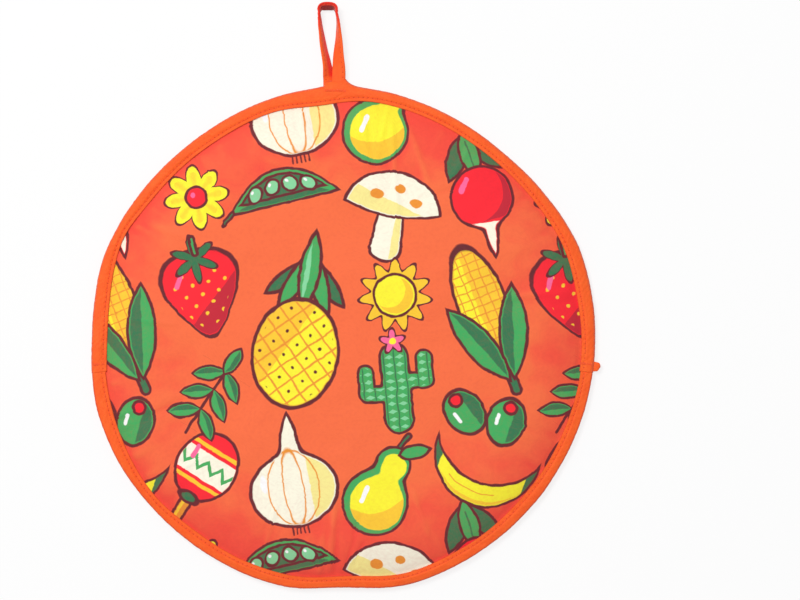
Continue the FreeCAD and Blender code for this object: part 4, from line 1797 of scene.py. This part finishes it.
def loop_crown(share):
    """The same on the squared-off top, from the left leg 0 to the right leg 1."""
    angle = math.pi * (1 - share)
    c, s = math.cos(angle), math.sin(angle)
    x = LOOP_TOP_X + LOOP_HALF * math.copysign(abs(c) ** CROWN_BOW, c)
    return (x, CROWN_Y + CROWN_TALL * s**CROWN_BOW, CROWN_Z), -CROWN_TILT * s


def whole_leg(side):
    """The stations of a leg from its end inside the rim to the crown."""
    (x, y, z), twist = loop_leg(side, 0)
    root = [((x, y - depth, z), twist) for depth in np.linspace(ROOT_DEPTH, 0.5, ROOT_STATIONS)]
    return root + [loop_leg(side, share) for share in np.linspace(0, 1, LEG_STATIONS, endpoint=False)]


def rounded(line):
    """A line of points whose kinks are rounded off."""
    longer = np.pad(line, ((2, 2), (0, 0)), mode="reflect", reflect_type="odd")
    shares = (0.1, 0.2, 0.4, 0.2, 0.1)
    return sum(share * longer[start : start + len(line)] for start, share in enumerate(shares))


crown = [loop_crown(share) for share in np.linspace(0, 1, CROWN_STATIONS)]
stations = whole_leg(-1) + crown + whole_leg(1)[::-1]
middles = rounded(rounded(np.array([middle for middle, _ in stations])))
travel = np.concatenate([[0], np.cumsum(np.linalg.norm(np.diff(middles, axis=0), axis=1))])
print(f"loop: {len(stations)} stations over {travel[-1]:.0f} mm of tape")

# %% [markdown]
# The section of the folded tape is a flat ring with rounded edges. At each station it is turned to the
# path's heading and leaned by the twist. The row of stitches dents it near its sewn edge.

# %% Sweep the loop's tape
SECTION_POINTS = 44
LOOP_SEAM = 1.5
headings = np.gradient(middles, axis=0) * (1, 1, 0)
headings /= np.linalg.norm(headings, axis=1, keepdims=True)
twists = np.radians([twist for _, twist in stations])[:, None]
upright = np.array([[0, 0, 1]])


def leaned(direction):
    """A direction across the heading, leaned about it by the twist of each station."""
    return direction * np.cos(twists) + np.cross(headings, direction) * np.sin(twists)


widthwise = leaned(upright)
throughwise = leaned(np.cross((0, 0, 1), headings))
section_turn = np.linspace(0, 2 * math.pi, SECTION_POINTS, endpoint=False)
wide_share = np.sin(section_turn)
thick_share = np.sign(np.cos(section_turn)) * (1 - np.abs(wide_share) ** 7) ** 0.5
seam_away = wide_share * HALF_WIDE - (HALF_WIDE - LOOP_SEAM)
hole = 0.55 + 0.45 * np.cos(2 * math.pi * travel / STITCH_PITCH)
thickness = HALF_THICK - 0.16 * hole[:, None] * np.exp(-((seam_away / 0.5) ** 2))
thickness = thickness + 0.06 * ripples(travel[:, None], section_turn * 4, 9, 8, 171)
loose = 0.12 * ripples(travel, travel * 0, 17, 6, 173)[:, None]
width_offset = wide_share * HALF_WIDE + loose
loop_points = middles[:, None] + widthwise[:, None] * width_offset[..., None]
loop_points = loop_points + throughwise[:, None] * (thick_share * thickness)[..., None]
print(f"the loop's section has {SECTION_POINTS} points")

# %% [markdown]
# The loop's inner face sees only its own folds, so it is painted a deeper red there, as shade, and deepest
# at the top. The four rows of numbers say where along the loop that is so, how deep the painted shade is,
# how far across the width it reaches, and how deep the painted shade on the upper edge is.

# %% Paint the loop's shade and make its piece
INSIDE_SHADE_ALONG = [0.05, 0.08, 0.30, 0.42, 0.47, 0.53, 0.58, 0.70, 0.90]
INSIDE_SHADE_DEPTH = [0.0, 1.0, 1.0, 1.1, 1.7, 1.8, 1.25, 1.0, 0.0]
INSIDE_SHADE_REACH = [0.3, 0.5, 0.5, 0.9, 1.0, 1.0, 0.9, -0.4, -1.0]
EDGE_SHADE_DEPTH = [0.0, 0.0, 0.2, 1.0, 1.25, 1.25, 1.0, 0.1, 0.0]
sewn_edge = HALF_WIDE * (1 - wide_share)
on_loop = np.where(sewn_edge < HALF_WIDE, sewn_edge + STITCH_INSET - LOOP_SEAM, PAST_LEG / 2)
# Both edges of the loop get the tape's painted edge shade.
on_loop = np.where(np.abs(wide_share) > 0.93, -0.4, on_loop)
along_share = travel / travel[-1]
depth, reach, edge_shade_depth = [
    np.interp(along_share, INSIDE_SHADE_ALONG, values)[:, None]
    for values in (INSIDE_SHADE_DEPTH, INSIDE_SHADE_REACH, EDGE_SHADE_DEPTH)
]
# How much painted shade each point of the loop gets, on its inner face and its upper edge.
painted_shade_depth = depth * smooth((reach - wide_share) / 0.7) * (thick_share < 0.05)
painted_shade_depth = np.maximum(painted_shade_depth, edge_shade_depth * (wide_share > 0.7))
on_loop = np.where(painted_shade_depth > 0, np.maximum(on_loop, INSIDE_SHADE_FROM + INSIDE_SHADE_SPAN * painted_shade_depth), on_loop)
flat = stack(travel[:, None], wide_share * HALF_WIDE + 20 * (thick_share < 0), on_loop)
faces = tube_faces(len(stations), SECTION_POINTS)
loop_tape = add_piece("loop_tape", loop_points, faces, flat, tape_cotton, "binding_tape")
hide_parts("hanging_loop")
LOOP_BEND_START = (0, (LOOP_HINGE_Y - 1.0) * MM, 0)
LOOP_BEND_END = (0, (LOOP_HINGE_Y + 4.5) * MM, 0)
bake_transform(loop_tape)
print("loop tape:", len(loop_tape.data.polygons), "faces")

# %% Stitch the loop
LOOP_STITCH = 2.3
LOOP_CLEAR = 9
THREAD_OUT = 0.72
seam_travel = np.arange(travel[0] + LOOP_CLEAR, travel[-1] - LOOP_CLEAR, STITCH_PITCH)
seam_travel = (np.floor(seam_travel / STITCH_PITCH) + 0.5) * STITCH_PITCH


def at_travel(values):
    """The values at each stitch of the loop."""
    return np.stack([np.interp(seam_travel, travel, values[:, axis]) for axis in range(3)], axis=1)


seam_line = at_travel(middles + widthwise * (HALF_WIDE - LOOP_SEAM))
seam_heading, seam_through = at_travel(headings), at_travel(throughwise)
loop_rows = [
    (seam_line + seam_through * side * THREAD_OUT, seam_heading, seam_through * side) for side in (1, -1)
]
loop_stitches = sew("loop_stitches", loop_rows, LOOP_STITCH, None, wide=0.45, tall=0.3)
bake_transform(loop_stitches)
print("stitches in the loop:", 2 * len(seam_line))

# %% [markdown]
# ## Table, light and camera
# The warmer lies on a pale table under soft light, with a broad lamp above and to the left. The camera
# looks straight down. The floor is white to the camera and keeps the soft shadow of the warmer.

# %% Set the table
TABLE_SIZE = 6.0
TABLE_Z = -0.00005
CAMERA_WHITE = 0.82


def seen_directly(tree):
    """1 where the camera looks, also by a reflection or through glass, and 0 for the light that falls."""
    rays = add_node(tree, "LightPath", {}).outputs
    camera, glossy, through = [
        Field(tree, rays[name]) for name in ("Is Camera Ray", "Is Glossy Ray", "Is Transmission Ray")
    ]
    return (camera + glossy).math("ADD", through, clamp=True)


table_mesh = bpy.data.meshes.new("table")
half = TABLE_SIZE / 2
corners = [(-half, -half), (half, -half), (half, half), (-half, half)]
table_mesh.from_pydata([(x, y, TABLE_Z) for x, y in corners], [], [(0, 1, 2, 3)])
table = place_object("table", table_mesh)
table_white = bpy.data.materials.new("table_white")
table_white.use_nodes = True
table_tree = table_white.node_tree
table_shader = table_tree.nodes["Principled BSDF"]
table_shader.inputs["Base Color"].default_value = linear(246, 246, 246)
table_shader.inputs["Roughness"].default_value = 0.9
glow = add_node(table_tree, "Emission", {"Strength": 1.0})
whites = {0: seen_directly(table_tree) * CAMERA_WHITE, 1: table_shader.outputs[0], 2: glow.outputs[0]}
either_white = add_node(table_tree, "MixShader", whites)
plug(table_tree, either_white.outputs[0], table_tree.nodes["Material Output"].inputs["Surface"])
table_mesh.materials.append(table_white)
print(f"table {TABLE_SIZE:.0f} m wide")

# %% Light the table
SKY_STRENGTH = 0.44
LAMP_PLACE = Vector((-0.62, 0.78, 2.0))
LAMP_SIZE = 0.8
LAMP_POWER = 32.5
bpy.context.scene.view_settings.view_transform = "Standard"
world = bpy.data.worlds.new("studio")
bpy.context.scene.world = world
world.use_nodes = True
sky_tree = world.node_tree
sky = sky_tree.nodes["Background"]
sky.inputs["Color"].default_value = (1, 1, 1, 1)
sky_strength = seen_directly(sky_tree).math("MULTIPLY_ADD", 1 - SKY_STRENGTH, SKY_STRENGTH)
plug(sky_tree, sky_strength, sky.inputs["Strength"])

lamp = bpy.data.lights.new("softbox", "AREA")
lamp.shape = "DISK"
lamp.size = LAMP_SIZE
lamp.energy = LAMP_POWER
softbox = place_object("softbox", lamp)
softbox.location = LAMP_PLACE
softbox.rotation_euler = (-LAMP_PLACE).to_track_quat("-Z", "Y").to_euler()
print(f"a lamp of {LAMP_POWER} W, {LAMP_PLACE.length:.1f} m away")

# %% Point the camera down
VIEW_WIDTH = 0.484
VIEW_MIDDLE = (0.0339, 0.0230)
CAMERA_HEIGHT = 2.0
SENSOR_WIDTH = 36
camera_data = bpy.data.cameras.new("camera")
camera_data.sensor_width = SENSOR_WIDTH
camera_data.lens = SENSOR_WIDTH * CAMERA_HEIGHT / VIEW_WIDTH
camera = place_object("camera", camera_data)
camera.location = (*VIEW_MIDDLE, CAMERA_HEIGHT + TAPE_HIGH * MM)
bpy.context.scene.camera = camera
print(f"lens {camera_data.lens:.1f} mm, {VIEW_WIDTH * 1000:.0f} mm across the picture")
